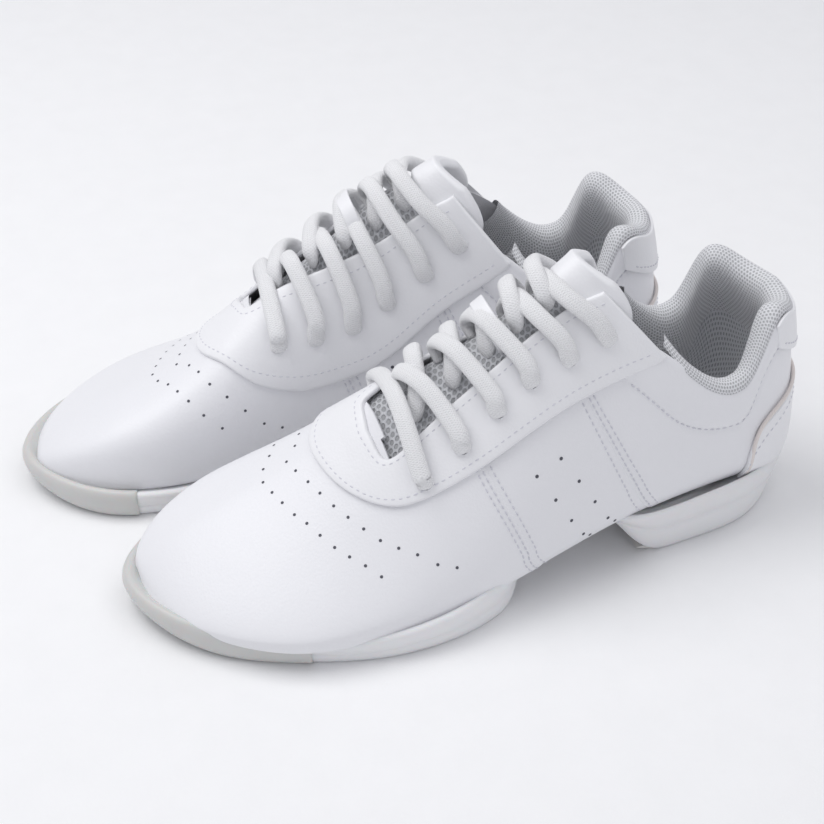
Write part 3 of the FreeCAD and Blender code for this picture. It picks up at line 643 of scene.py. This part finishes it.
for label, sign in (("lateral", 1), ("medial", -1)):
    turn = (lambda mesh: mesh) if sign > 0 else flipped
    add(label + "_saddle", *turn(sheet_mesh(saddle_domain(sign), SADDLE_DROP, 0.8, 40, 60,
                                            edge=0.3, sink=0.0)),
        LEATHER, "bend", "leather", (label + "_saddle",))
    domain = between(feather, quarter_top, sign)
    add(label + "_quarter", *turn(sheet_mesh(domain, quarter_lift(domain), LEATHER_THICK, 90, 70,
                                             sink=0.35, sink_run=2.0)),
        LEATHER, "bend", "leather", (label + "_quarter",))

# the eyestay: a band round the throat between two edges, given as (l, m) seen from above
STAY_OUTER = ((92, 26), (116, 28.3), (140, 29.5), (160, 28), (172, 24.5), (182, 16), (189.5, 4),
              (192.5, -9), (190.5, -20), (183, -29), (172, -34), (156, -33), (140, -30.5),
              (116, -27.5), (92, -25.5))
STAY_INNER = ((100, 11.5), (118, 12), (140, 12.3), (156, 12.5), (166, 12.3), (171, 10.3),
              (172.6, 4), (173, -0.5), (172.6, -5), (171, -11.3), (166, -13.2), (156, -13.2),
              (140, -12.8), (118, -12), (100, -11.5))
stay_outer = path([(213, 0.63)] + from_above(STAY_OUTER) + [(213, -0.63)])
stay_inner = path([(217, 0.30)] + from_above(STAY_INNER) + [(217, -0.30)])
stay_domain = between(stay_outer, stay_inner)
STAY_TOP = 1.9
# each row's section and half distance across, from the front to the top
EYELETS = ((102, 26), (118.5, 24.3), (135.5, 22.6), (152.5, 21), (173, 20.2), (194.5, 19.6))
EYELET_RADIUS = 2.9
SIDES = (1, -1)
eyelet_centre = spline(((102, -1.5), (194.5, 0)))


def across(q, m):
    """Signed w of the place on section q that is m from the eyelets' middle line."""
    return at_width(q, float(eyelet_centre(q)) + m)


def eyelet(row, side, offset, inward=0.0):
    """A place over an eyelet, or nearer the middle, and the skin's direction there."""
    q, half = EYELETS[row]
    w = across(q, side * (half - inward))
    return skin(q, w, offset), skin_normal(q, w)


def stay_lift(s, r):
    """Soft dimples where the laces press into the eyelets."""
    q, w = stay_domain(s, r)
    p = skin(q, w)
    lift = STAY_TOP + 0.35 * np.sin(np.pi * r) ** 0.5
    for row in range(len(EYELETS)):
        for side in SIDES:
            gap = np.linalg.norm(p - eyelet(row, side, 0)[0], axis=-1)
            lift = lift - 0.7 * np.exp(-(gap / 4.0) ** 2)
    return lift


add("eyestay", *sheet_mesh(stay_domain, stay_lift, 2.0, 200, 34, edge=0.9, sink=0.3, sink_run=1.5),
    OVERLAY, "bend", "overlay_leather", ("eyestay",))
rims, wells = [], []
for row, (q, half) in enumerate(EYELETS):
    for side in SIDES:
        centre, normal = eyelet(row, side, STAY_TOP - 0.25)
        a = unit(np.cross(normal, [1.0, 0, 0]))
        b = np.cross(normal, a)
        turn = np.linspace(0, 2 * np.pi, 25)[:, None]
        ring = centre + EYELET_RADIUS * (np.cos(turn) * a + np.sin(turn) * b)
        rims.append(tube_mesh(ring, np.repeat(normal[None], 25, 0), 0.7, 0.6, 49, 8))
        wells.append((q, across(q, side * half)))
add("eyelet_edges", *joined(rims), OVERLAY, "bend", "overlay_leather")
# the eyelet holes are dark discs of painted shade
add("eyelet_holes", *dots(wells, STAY_TOP - 0.1, EYELET_RADIUS - 0.2), HOLE_SHADE, "bend")

# heel overlay, piping and tab
cup_low = path([(200, 1.50), (207, 1.62), (213, 1.80), (216, 2.0), (213, 2.20), (207, 2.38),
                (200, 2.50)])
cup_high = path([(201, 1.42), (209, 1.17), (222, 1.22), (237, 1.62), (241.5, 2.0), (237, 2.38),
                 (222, 2.78), (209, 2.83), (201, 2.58)])


cup_domain = between(cup_low, cup_high)
TAB_W = 1.3
TAB_LOW_Q = 251.5


def tab_domain(s, r):
    w = TAB_W + (4 - 2 * TAB_W) * s
    return TAB_LOW_Q + (topline(fold(w)) - 3 - TAB_LOW_Q) * r, w


add("heel_overlay", *sheet_mesh(cup_domain, 1.7, 1.6, 70, 24, sink=0.2), OVERLAY, "rear",
    "overlay_leather", ("heel_overlay",))
cup_edge = cup_high(np.linspace(0.01, 0.99, 60))
add("heel_piping", *tube_mesh(skin(cup_edge[:, 0] + 1.2, cup_edge[:, 1], 1.2),
                              skin_normal(cup_edge[:, 0], cup_edge[:, 1]), 1.7, 1.5, 160, 10),
    PIPING, "rear", "piping", ("heel_piping",))
add("heel_tab", *sheet_mesh(tab_domain, 2.2, 1.4, 60, 16, edge=0.7, sink=0.2), OVERLAY, "rear",
    "overlay_leather", ("heel_tab",))


# ---------------------------------------------------------------- collar, lining and tongue
COLLAR_W = 0.62          # where the collar starts behind the tongue
OVER_EDGE = 0.25         # share of the mesh's width that rolls over the edge
COLLAR_RUN = 30.0        # how many sections it then runs down inside the heel
COLLAR_PUFF = 6.0        # how far its padding swells inwards
FRONT_RISE = 12.0        # it runs less far down beside the tongue


def collar_mesh():
    """Padded mesh rolled over the top edge and down inside the heel."""
    w = np.linspace(COLLAR_W, 4 - COLLAR_W, 180)
    top = topline(fold(w))
    turn = np.linspace(0, 1, 34)
    W, T = np.meshgrid(w, turn, indexing="ij")
    top = np.repeat(top[:, None], len(turn), 1)
    outside = np.clip(T / OVER_EDGE, 0, 1)
    inside = np.clip((T - OVER_EDGE) / (1 - OVER_EDGE), 0, 1)
    from_end = np.minimum(W - COLLAR_W, 4 - COLLAR_W - W)
    q = top - 2.6 + 4.0 * np.sin(outside * np.pi / 2) - COLLAR_RUN * inside ** 1.6
    depth = 0.6 - 3.3 * (1 - np.cos(outside * np.pi / 2))
    puff = COLLAR_PUFF * np.sin(np.pi * inside ** 0.75)
    ends = np.clip(from_end / 0.30, 0, 1) ** 0.8
    tuck = 5.0 * (1 - np.clip(from_end / 0.12, 0, 1)) ** 2
    depth = depth - (puff * ends + tuck + 1.6 * np.sin(np.pi / 2 * inside))
    front = np.clip((0.9 - fold(W)) / 0.3, 0, 1)
    q = q + FRONT_RISE * front * inside
    p = skin(q, W, depth)
    u, v = arc_uv(p)
    faces, corner = quads(len(w), len(turn))
    uv = np.stack([u, v], -1)
    return p.reshape(-1, 3), [faces], [np.stack([uv[a, b] for a, b in corner], 1)]


add("collar_padding", *collar_mesh(), MESH, "rear", "mesh", ("collar_padding",))


LINING_W = 0.72


def lining_domain(s, r):
    w = LINING_W + (4 - 2 * LINING_W) * s
    low = 177 + 40 * np.sin(np.pi * (w / 4)) ** 12
    high = topline(fold(w)) - 14
    return low + (high - low) * r, w


add("collar_lining", *sheet_mesh(lining_domain, -3.2, 0.8, 90, 50), LINING, "rear", "lining",
    ("collar_lining",))


def arch_grid(qs, halves, lift, count):
    """Rows that arch over the instep, each from its inner edge over the ridge to its outer one."""
    rows = []
    for q, half in zip(qs, halves):
        ends = [skin(q, across(q, k * half), lift) for k in (-1, 1)]
        crown = skin(q, 0.0, lift)
        u = np.linspace(-1, 1, count)[:, None]
        rows.append((ends[0] + ends[1]) / 2 * u ** 2 + crown * (1 - u ** 2)
                    + (ends[1] - ends[0]) / 2 * u)
    return np.array(rows)


def padded(qs, halves, low, high, count, edge):
    """A cushion over the instep with full rounded edges."""
    u = np.linspace(-1, 1, count)
    t = np.linspace(0, 1, len(qs))
    length = qs[-1] - qs[0]
    side_gap = (1 - np.abs(u))[None, :] * np.mean(halves)
    end_gap = (np.minimum(t, 1 - t) * length)[:, None]
    gap = np.clip(np.minimum(side_gap, end_gap) / edge, 0, 1)
    fat = np.sqrt(1 - (1 - gap) ** 2)
    base = arch_grid(qs, halves, (low + high) / 2, count)
    du = np.gradient(base, axis=0)
    dv = np.gradient(base, axis=1)
    normal = unit(np.cross(dv, du))
    normal *= np.sign(normal[..., 2:3].mean())
    half = ((high - low) / 2 * fat)[..., None]
    nu, nv = base.shape[:2]
    uv = np.stack(arc_uv(base), -1)
    f0, c0 = quads(nu, nv, flip=True)
    f1, c1 = quads(nu, nv, nu * nv)
    verts = np.concatenate([(base + normal * half).reshape(-1, 3),
                            (base - normal * half).reshape(-1, 3)])
    uvs = [np.stack([uv[a, b] for a, b in c], 1) for c in (c0, c1)]
    return verts, [f0, f1], uvs


body_q = np.linspace(88, 192, 90)
add("tongue_body", *padded(body_q, 19.5 + (body_q - 88) / 104, -8.2, -3.4, 40, 4.0), COARSE,
    "bend", "mesh", ("tongue_body",))
TOP_LOW_Q = 189.0
TOP_RUN = 40.0
top_q = np.linspace(TOP_LOW_Q, TOP_LOW_Q + TOP_RUN, 60)
top_half = 20.5 - 6.0 * ((top_q - TOP_LOW_Q) / TOP_RUN) ** 5
add("tongue_top", *padded(top_q, top_half, -7.0, -0.6, 50, 5.5), OVERLAY, "tongue",
    "overlay_leather", ("tongue_top",))


# ---------------------------------------------------------------- laces
LACE_WIDTH = 7.2
LACE_HEIGHT = 4.6
# over the edge of the throat and down into an eyelet: height, distance towards the middle
INTO_EYELET = ((6.0, 4.6), (4.7, 1.6), (2.4, 0.0), (-1.8, -0.2))
OUT_OF_EYELET = ((-1.8, -0.2), (2.4, 0.0), (4.7, 1.6), (5.8, 4.6))


def strand(row, side, over):
    """From under the middle of one row up and into an eyelet of the next; over crosses on top."""
    q0 = EYELETS[row][0]
    step = EYELETS[row + 1][0] - q0
    low, high = (6.6, 6.6) if over else (2.6, 6.0)      # heights at the crossing and past it
    points, normals = [], []
    for share, m, offset in ((0.10, -7.5, -3.0), (0.26, -6.0, low - 2.4), (0.52, 0.5, low),
                             (0.76, 9, high)):
        q = q0 + share * step
        w = across(q, side * m)
        points.append(skin(q, w, offset))
        normals.append(skin_normal(q, w))
    for offset, inward in INTO_EYELET:
        p, n = eyelet(row + 1, side, offset, inward)
        points.append(p)
        normals.append(n)
    return tube_mesh(points, normals, LACE_WIDTH, LACE_HEIGHT, 64, 18, 0.25)


bar, bar_up = [], []
for side, order in ((-1, 1), (1, -1)):
    for offset, inward in OUT_OF_EYELET[::order]:
        p, n = eyelet(0, side, offset, inward)
        bar.append(p)
        bar_up.append(n)
    if side < 0:
        q = EYELETS[0][0]
        bar.append(skin(q, across(q, 0), 5.0))
        bar_up.append(skin_normal(q, 0.0))
cords = [tube_mesh(bar, bar_up, LACE_WIDTH, LACE_HEIGHT, 110, 18, 0.25)]
OUTER_ON_TOP_ROWS = 3
for row in range(len(EYELETS) - 1):
    cords.append(strand(row, 1, row < OUTER_ON_TOP_ROWS))
    cords.append(strand(row, -1, row >= OUTER_ON_TOP_ROWS))
add("lace", *joined(cords), LACE, "bend", "lace", ("lace",))


def keeper_domain(s, r):
    q = 143.5 + 7 * r
    return q, np.vectorize(at_width)(q, 11.5 * (2 * s - 1))


def keeper_lift(s, r):
    """Both ends lie on the tongue and the middle stands over a crossing of the laces."""
    return -3.6 + 12.4 * (1 - np.abs(2 * s - 1) ** 3)


add("lace_keeper", *sheet_mesh(keeper_domain, keeper_lift, 1.0, 40, 8, edge=0.5, sink=0.0),
    OVERLAY, "bend", "overlay_leather", ("lace_keeper",))

# ---------------------------------------------------------------- soles
# plan outlines (l, m) of both soles, along the widest line of their sides
FORE_OUTLINE = ((269.5, -16), (264.5, 4), (251.5, 21.8), (234.5, 34.5), (212, 45), (186, 52.5),
                (160, 53), (139, 47.5), (124, 34), (118, 4), (120, -24), (138, -37),
                (160, -42), (186, -48), (208, -52), (228, -52), (247, -45), (262, -32))
HEEL_OUTLINE = ((94, 6), (91, 25), (80, 36.5), (62, 37.5), (42, 36), (22, 32.5), (5, 22.5),
                (-5.5, 8), (-5.5, -8), (5, -22.5), (22, -32.5), (42, -35.5), (62, -35.5),
                (80, -34), (91, -23.5), (94, -8))


def loop(points, count):
    """A smooth closed outline, with even steps."""
    n = len(points)
    wrapped = [points[i % n] for i in range(-4, n + 5)]
    ts = np.arange(-4, n + 5)
    curves = [spline([(t, p[k]) for t, p in zip(ts, wrapped)]) for k in range(2)]
    t = np.linspace(0, n, 2000)
    dense = np.stack([c(t) for c in curves], -1)
    run = running(dense)
    even = np.linspace(0, run[-1], count, endpoint=False)
    return np.stack([np.interp(even, run, dense[:, k]) for k in range(2)], -1)


def sideways(outline):
    """The direction square to a closed outline at each of its points."""
    d = unit(np.roll(outline, -1, 0) - np.roll(outline, 1, 0))
    return np.stack([-d[:, 1], d[:, 0]], -1)


def with_ends(grid, faces, tex, kept):
    """Closes both cut ends of a partial wall with a fan of triangles."""
    nu, n = grid.shape[:2]
    verts = grid.reshape(-1, 3)
    for step in (-1, 1):
        column = int(np.flatnonzero(kept & ~np.roll(kept, -step))[0])
        ring = np.arange(nu) * n + column
        centre = len(verts)
        verts = np.concatenate([verts, verts[ring].mean(0)[None]])
        a, b = (ring, np.roll(ring, -1)) if step > 0 else (np.roll(ring, -1), ring)
        hub = np.full(nu, centre)
        faces = np.concatenate([faces, np.stack([a, b, hub, hub], -1)])
        tex = np.concatenate([tex, np.zeros((nu, 4, 2))])
    return verts, [faces], [tex]


def wall_mesh(outline, low, high, profile, spine, keep=None):
    """A sole: profile gives (inset, height share, extra height) from the underside round the
    wall and over its top; spine is where the underside closes; keep picks a part of the wall."""
    n = len(outline)
    push = sideways(outline)
    if push[0] @ (spine(outline[:1, 0])[0] - outline[0]) < 0:
        push = -push
    rows = []
    lo, hi = np.maximum(low(outline[:, 0]), 0), high(outline[:, 0])
    for inset, share, extra in profile:
        plan = outline + push * inset
        rows.append(np.column_stack([plan, lo + (hi - lo) * share + extra]))
    grid = np.array(rows)
    spine_pts = spine(grid[0][:, 0])
    centre = []
    for share in (0.35, 0.7, 1.0):
        plan = grid[0][:, :2] * (1 - share) + spine_pts * share
        centre.append(np.column_stack([plan, grid[0][:, 2] * (1 - share)
                                       + np.maximum(low(plan[:, 0]), 0) * share]))
    grid = np.concatenate([np.array(centre[::-1]), grid])
    top = grid[-1].copy()
    closing = 0.8       # the top reaches this share of the way in, under the upper
    top[:, :2] = top[:, :2] * (1 - closing) + spine(top[:, 0]) * closing
    grid = np.concatenate([grid, top[None]])
    nu = len(grid)
    uv = np.stack(arc_uv(np.concatenate([grid, grid[:, :1]], 1)), -1)
    faces, corner = quads(nu, n, around=True)
    tex = np.stack([uv[a, b] for a, b in corner], 1)
    if keep is not None:
        ok = keep(outline)
        use = ok[np.mod(corner[0][1], n)] & ok[np.mod(corner[3][1], n)]
        faces, tex = faces[use], tex[use]
        return with_ends(grid, faces, tex, ok)
    return grid.reshape(-1, 3), [faces], [tex]


def spine_line(l0, l1, m0):
    """A straight line along the shoe that every place of an outline is drawn in to."""
    def spine(l):
        return np.column_stack([np.clip(l, l0, l1), np.full(len(l), m0)])
    return spine


fore_low = spline(((112, 17), (119, 6), (128, 0.6), (134, 0), (236, 0), (256, 2.2), (270, 6)))
fore_high = spline(((112, 25), (120, 22.5), (130, 20.5), (154, 16.5), (186, 12.5), (206, 11.5),
                    (212, 11.8), (240, 13), (270, 14.5)))
fore_loop = loop(FORE_OUTLINE, 360)
fore_spine = spine_line(150, 235, -6)
BUMPER_BACK_OUT = 213.0
BUMPER_BACK_IN = 222.0
BALL_INNER_M = -52.0
BALL_WIDTH = 97.0


def bumper_zone(outline):
    """The part of the outline in front of the bumper's ends."""
    share = np.clip((outline[:, 1] - BALL_INNER_M) / BALL_WIDTH, 0, 1)
    return outline[:, 0] > BUMPER_BACK_IN + (BUMPER_BACK_OUT - BUMPER_BACK_IN) * share


side_profile = ((6, 0, 0), (4.2, 0, 0), (3.4, 0.02, 0.1), (2.7, 0.10, 0.2), (2.1, 0.25, 0),
                (1.7, 0.40, 0), (1.9, 0.44, 0), (1.9, 0.47, 0), (1.4, 0.52, 0), (0.9, 0.70, 0),
                (0.6, 0.84, 0), (0.8, 0.93, 0), (1.5, 0.985, 0), (2.4, 1.0, 0), (3.6, 0.97, 0),
                (4.8, 0.80, 0))
add("forefoot_sole", *wall_mesh(fore_loop, fore_low, fore_high, side_profile, fore_spine), SOLE,
    "bend", "sole_rubber", ("forefoot_sole",))
bumper_profile = ((6, 0, 0), (4.0, 0, 0), (2.7, 0.03, 0), (1.6, 0.12, 0), (0.6, 0.30, 0),
                  (0.1, 0.50, 0), (-0.1, 0.66, 0), (0.1, 0.82, 0), (0.6, 0.95, 0),
                  (1.5, 1.02, 0), (2.6, 1.06, 0), (3.8, 1.02, 0), (5.0, 0.85, 0))
add("toe_bumper", *wall_mesh(fore_loop, fore_low, fore_high, bumper_profile, fore_spine,
                             keep=bumper_zone), BUMPER, "forefoot", "bumper_rubber",
    ("toe_bumper",))
heel_low = spline(((-6, 3.5), (2, 0.8), (14, 0), (58, 0), (66, 2), (74, 8), (82, 15), (90, 21),
                   (95, 24)))
heel_high = spline(((-6, 27), (20, 27.5), (42, 26.5), (62, 25), (80, 25.5), (95, 27)))
heel_loop = loop(HEEL_OUTLINE, 300)
heel_spine = spine_line(18, 72, 0)
heel_profile = ((9, 0, 0), (7.2, 0, 0), (6.2, 0.02, 0), (5.4, 0.08, 0), (4.4, 0.2, 0),
                (3.4, 0.34, 0), (2.7, 0.48, 0), (2.3, 0.56, 0), (2.6, 0.585, 0),
                (2.5, 0.61, 0), (1.7, 0.65, 0), (1.0, 0.78, 0), (0.5, 0.88, 0), (0.6, 0.94, 0),
                (1.2, 0.985, 0), (2.0, 1.0, 0), (3.2, 0.97, 0), (4.4, 0.85, 0))
add("heel_sole", *wall_mesh(heel_loop, heel_low, heel_high, heel_profile, heel_spine), SOLE,
    "bend", "sole_rubber", ("heel_sole",))


# ---------------------------------------------------------------- underfoot
def under_domain(q0, q1):
    """A strip along the middle of the underside."""
    def domain(s, r):
        return q0 + (q1 - q0) * s, 1.52 + 0.96 * r
    return domain


add("arch_bridge", *sheet_mesh(under_domain(124, 190), 0, 1.5, 40, 40, sink=0), LEATHER, "bend",
    "leather", ("arch_bridge",))
add("sockliner", *sheet_mesh(under_domain(16, 210), -4.4, 3.0, 90, 40, sink=0), FOAM, "bend",
    "sock_foam", ("sockliner",))

# ---------------------------------------------------------------- stitching and perforations
THREAD_LIFT = 0.12


def seam_rows(seam, shifts, on_top):
    """Rows beside a seam of both sides; on_top is the way, along q, to the panel that is over."""
    out = []
    for sign in SIDES:
        for shift in shifts:
            w = np.linspace(0.52, 1.36, 120)
            lift = THREAD_LIFT if shift * on_top > 0 else SADDLE_DROP + THREAD_LIFT
            out.append(stitches(seam(w) + shift, sign * w, lift))
    return out


rows = seam_rows(vamp_seam, (-3.6, -1.6, 1.6), -1)
rows += seam_rows(quarter_seam, (-1.6, 1.6, 3.6), 1)
for sign in SIDES:
    w = np.linspace(0.62, 1.99, 300)
    rows.append(stitches(collar_stitch(w), sign * w, -0.15))
add("seam_stitching", *joined(rows), THREAD, "bend")

rows = []
for r in (0.13, 0.86):
    line = stay_domain(np.linspace(0.01, 0.99, 500), np.full(500, r))
    rows.append(stitches(*line, STAY_TOP + THREAD_LIFT))
add("eyestay_stitching", *joined(rows), THREAD, "bend")
tab_row = stitches(np.full(160, TAB_LOW_Q + 3), np.linspace(1.36, 2.64, 160), 2.2)
cup_line = cup_domain(np.linspace(0.04, 0.96, 300), np.full(300, 0.90))
add("heel_stitching", *joined([tab_row, stitches(*cup_line, 1.65)]), THREAD, "rear")

# both rows of holes in the vamp, as (l, m) seen from above
ROW_A = ((183, 39), (196, 24), (206, 5), (212, -14), (207, -24), (201, -33), (194.6, -39),
         (187.6, -41), (179, -40.6))
ROW_B = ((155.7, 45), (164.4, 41.6), (179.6, 29.7), (191.5, 12.5), (199, -6), (202, -15),
         (196, -22), (191.5, -30), (185.5, -36), (178, -38), (170, -38), (161, -36.5))
holes = from_above(evenly(ROW_A, 17)) + from_above(evenly(ROW_B, 19))
# the perforations here and in the saddles are dark discs of painted shade
add("vamp_perforations", *dots(holes, 0.07, 0.62), HOLE_SHADE, "bend")
SADDLE_HOLES = ((154.5, .70), (158.5, .82), (161.8, .95), (164.5, 1.08), (166.4, 1.2),
                (143.5, .70), (148.3, .83), (152.3, .97), (155.6, 1.10), (157.8, 1.2))
holes = [(q, sign * w) for sign in SIDES for q, w in SADDLE_HOLES]
add("saddle_perforations", *dots(holes, SADDLE_DROP + 0.06, 0.72), HOLE_SHADE, "bend")


def build(piece, side, prefix):
    """One piece of one shoe; side -1 is the right shoe, mirrored."""
    world = place(piece["verts"], side)
    faces = np.concatenate(piece["faces"])
    uvs = np.concatenate(piece["uvs"])
    if side < 0:
        faces = faces[:, ::-1]
        uvs = uvs[:, ::-1]
    mesh = bpy.data.meshes.new(prefix + piece["name"])
    lists, corners = [], []
    for face, uv in zip(faces.tolist(), uvs.tolist()):
        if face[2] == face[3]:      # a triangle, written with its last corner twice
            face, uv = face[:3], uv[:3]
        elif face[0] == face[1]:    # and the same one turned over
            face, uv = face[1:], uv[1:]
        lists.append(face)
        corners += uv
    mesh.from_pydata(world.tolist(), [], lists)
    layer = mesh.uv_layers.new(name="millimetres")
    layer.data.foreach_set("uv", np.array(corners, np.float32).ravel())
    mesh.polygons.foreach_set("use_smooth", [True] * len(lists))
    mesh.materials.append(piece["material"])
    mesh.update()
    obj = bpy.data.objects.new(prefix + "visual_" + piece["name"], mesh)
    bpy.context.collection.objects.link(obj)
    if piece["nodes"]:
        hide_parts(*[prefix + name for name in piece["nodes"]])
    if piece["rides"] == "bend":
        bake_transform(obj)
    else:
        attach(obj, prefix + piece["rides"])


# pieces shown as the frame holds them, with a material of their own
KEPT_LOOKS = {"vamp_lining": LINING, "toe_puff": BOARD, "heel_counter": BOARD,
              "forefoot_board": BOARD, "heel_board": BOARD, "forefoot_tread": TREAD,
              "heel_tread": TREAD, "heel_inlay": INLAY}
for side, prefix in ((1, "left_"), (-1, "right_")):
    for piece in pieces:
        build(piece, side, prefix)
    for name, look in KEPT_LOOKS.items():
        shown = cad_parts[prefix + name]
        shown.data.materials.clear()
        shown.data.materials.append(look)

# ---------------------------------------------------------------- floor, light and camera
FLOOR = rubber("studio_floor", (0.93, 0.93, 0.935), 0.85)
FLOOR_HALF = 25.0
ring = [(-1, -1), (1, -1), (1, 1), (-1, 1)]
mesh = bpy.data.meshes.new("studio_floor")
mesh.from_pydata([(x * FLOOR_HALF, y * FLOOR_HALF, 0) for x, y in ring], [], [(0, 1, 2, 3)])
mesh.materials.append(FLOOR)
floor = bpy.data.objects.new("studio_floor", mesh)
bpy.context.collection.objects.link(floor)

world = bpy.data.worlds.new("studio")
world.use_nodes = True
sky = world.node_tree.nodes["Background"]
sky.inputs["Color"].default_value = (0.93, 0.94, 1.0, 1)
sky.inputs["Strength"].default_value = 0.50
bpy.context.scene.world = world
CENTRE = Vector((0, 0.0155, 0.04))      # what the lights and the camera turn to


def towards(azimuth, elevation):
    """The direction from the centre out; degrees round from the toes' side and up."""
    a, e = math.radians(azimuth), math.radians(elevation)
    return Vector((math.sin(a) * math.cos(e), -math.cos(a) * math.cos(e), math.sin(e)))


def softbox(name, azimuth, elevation, distance, size, power):
    """A square lamp, in metres and watts."""
    data = bpy.data.lights.new(name, "AREA")
    data.size = size
    data.energy = power
    light = bpy.data.objects.new(name, data)
    back = towards(azimuth, elevation)
    light.location = CENTRE + back * distance
    light.rotation_euler = back.to_track_quat("Z", "Y").to_euler()
    bpy.context.collection.objects.link(light)


softbox("key", -20, 62, 1.3, 0.9, 8.6)
softbox("top", 170, 70, 1.4, 1.0, 3.0)
softbox("fill", 110, 25, 1.6, 1.2, 1.2)

CAMERA_AZIMUTH = 74.6
CAMERA_ELEVATION = 36.1
CAMERA_DISTANCE = 0.717
back = towards(CAMERA_AZIMUTH, CAMERA_ELEVATION)
right = towards(CAMERA_AZIMUTH + 90, 0)
up = back.cross(right)
data = bpy.data.cameras.new("camera")
data.lens = 76.0
data.sensor_width = 36.0
data.shift_x = -0.0357
data.shift_y = -0.0172
camera = bpy.data.objects.new("camera", data)
turned = Matrix((right, up, back)).transposed().to_4x4()
camera.matrix_world = Matrix.Translation(CENTRE + back * CAMERA_DISTANCE) @ turned
bpy.context.collection.objects.link(camera)
bpy.context.scene.camera = camera
bpy.context.scene.view_settings.view_transform = "Standard"
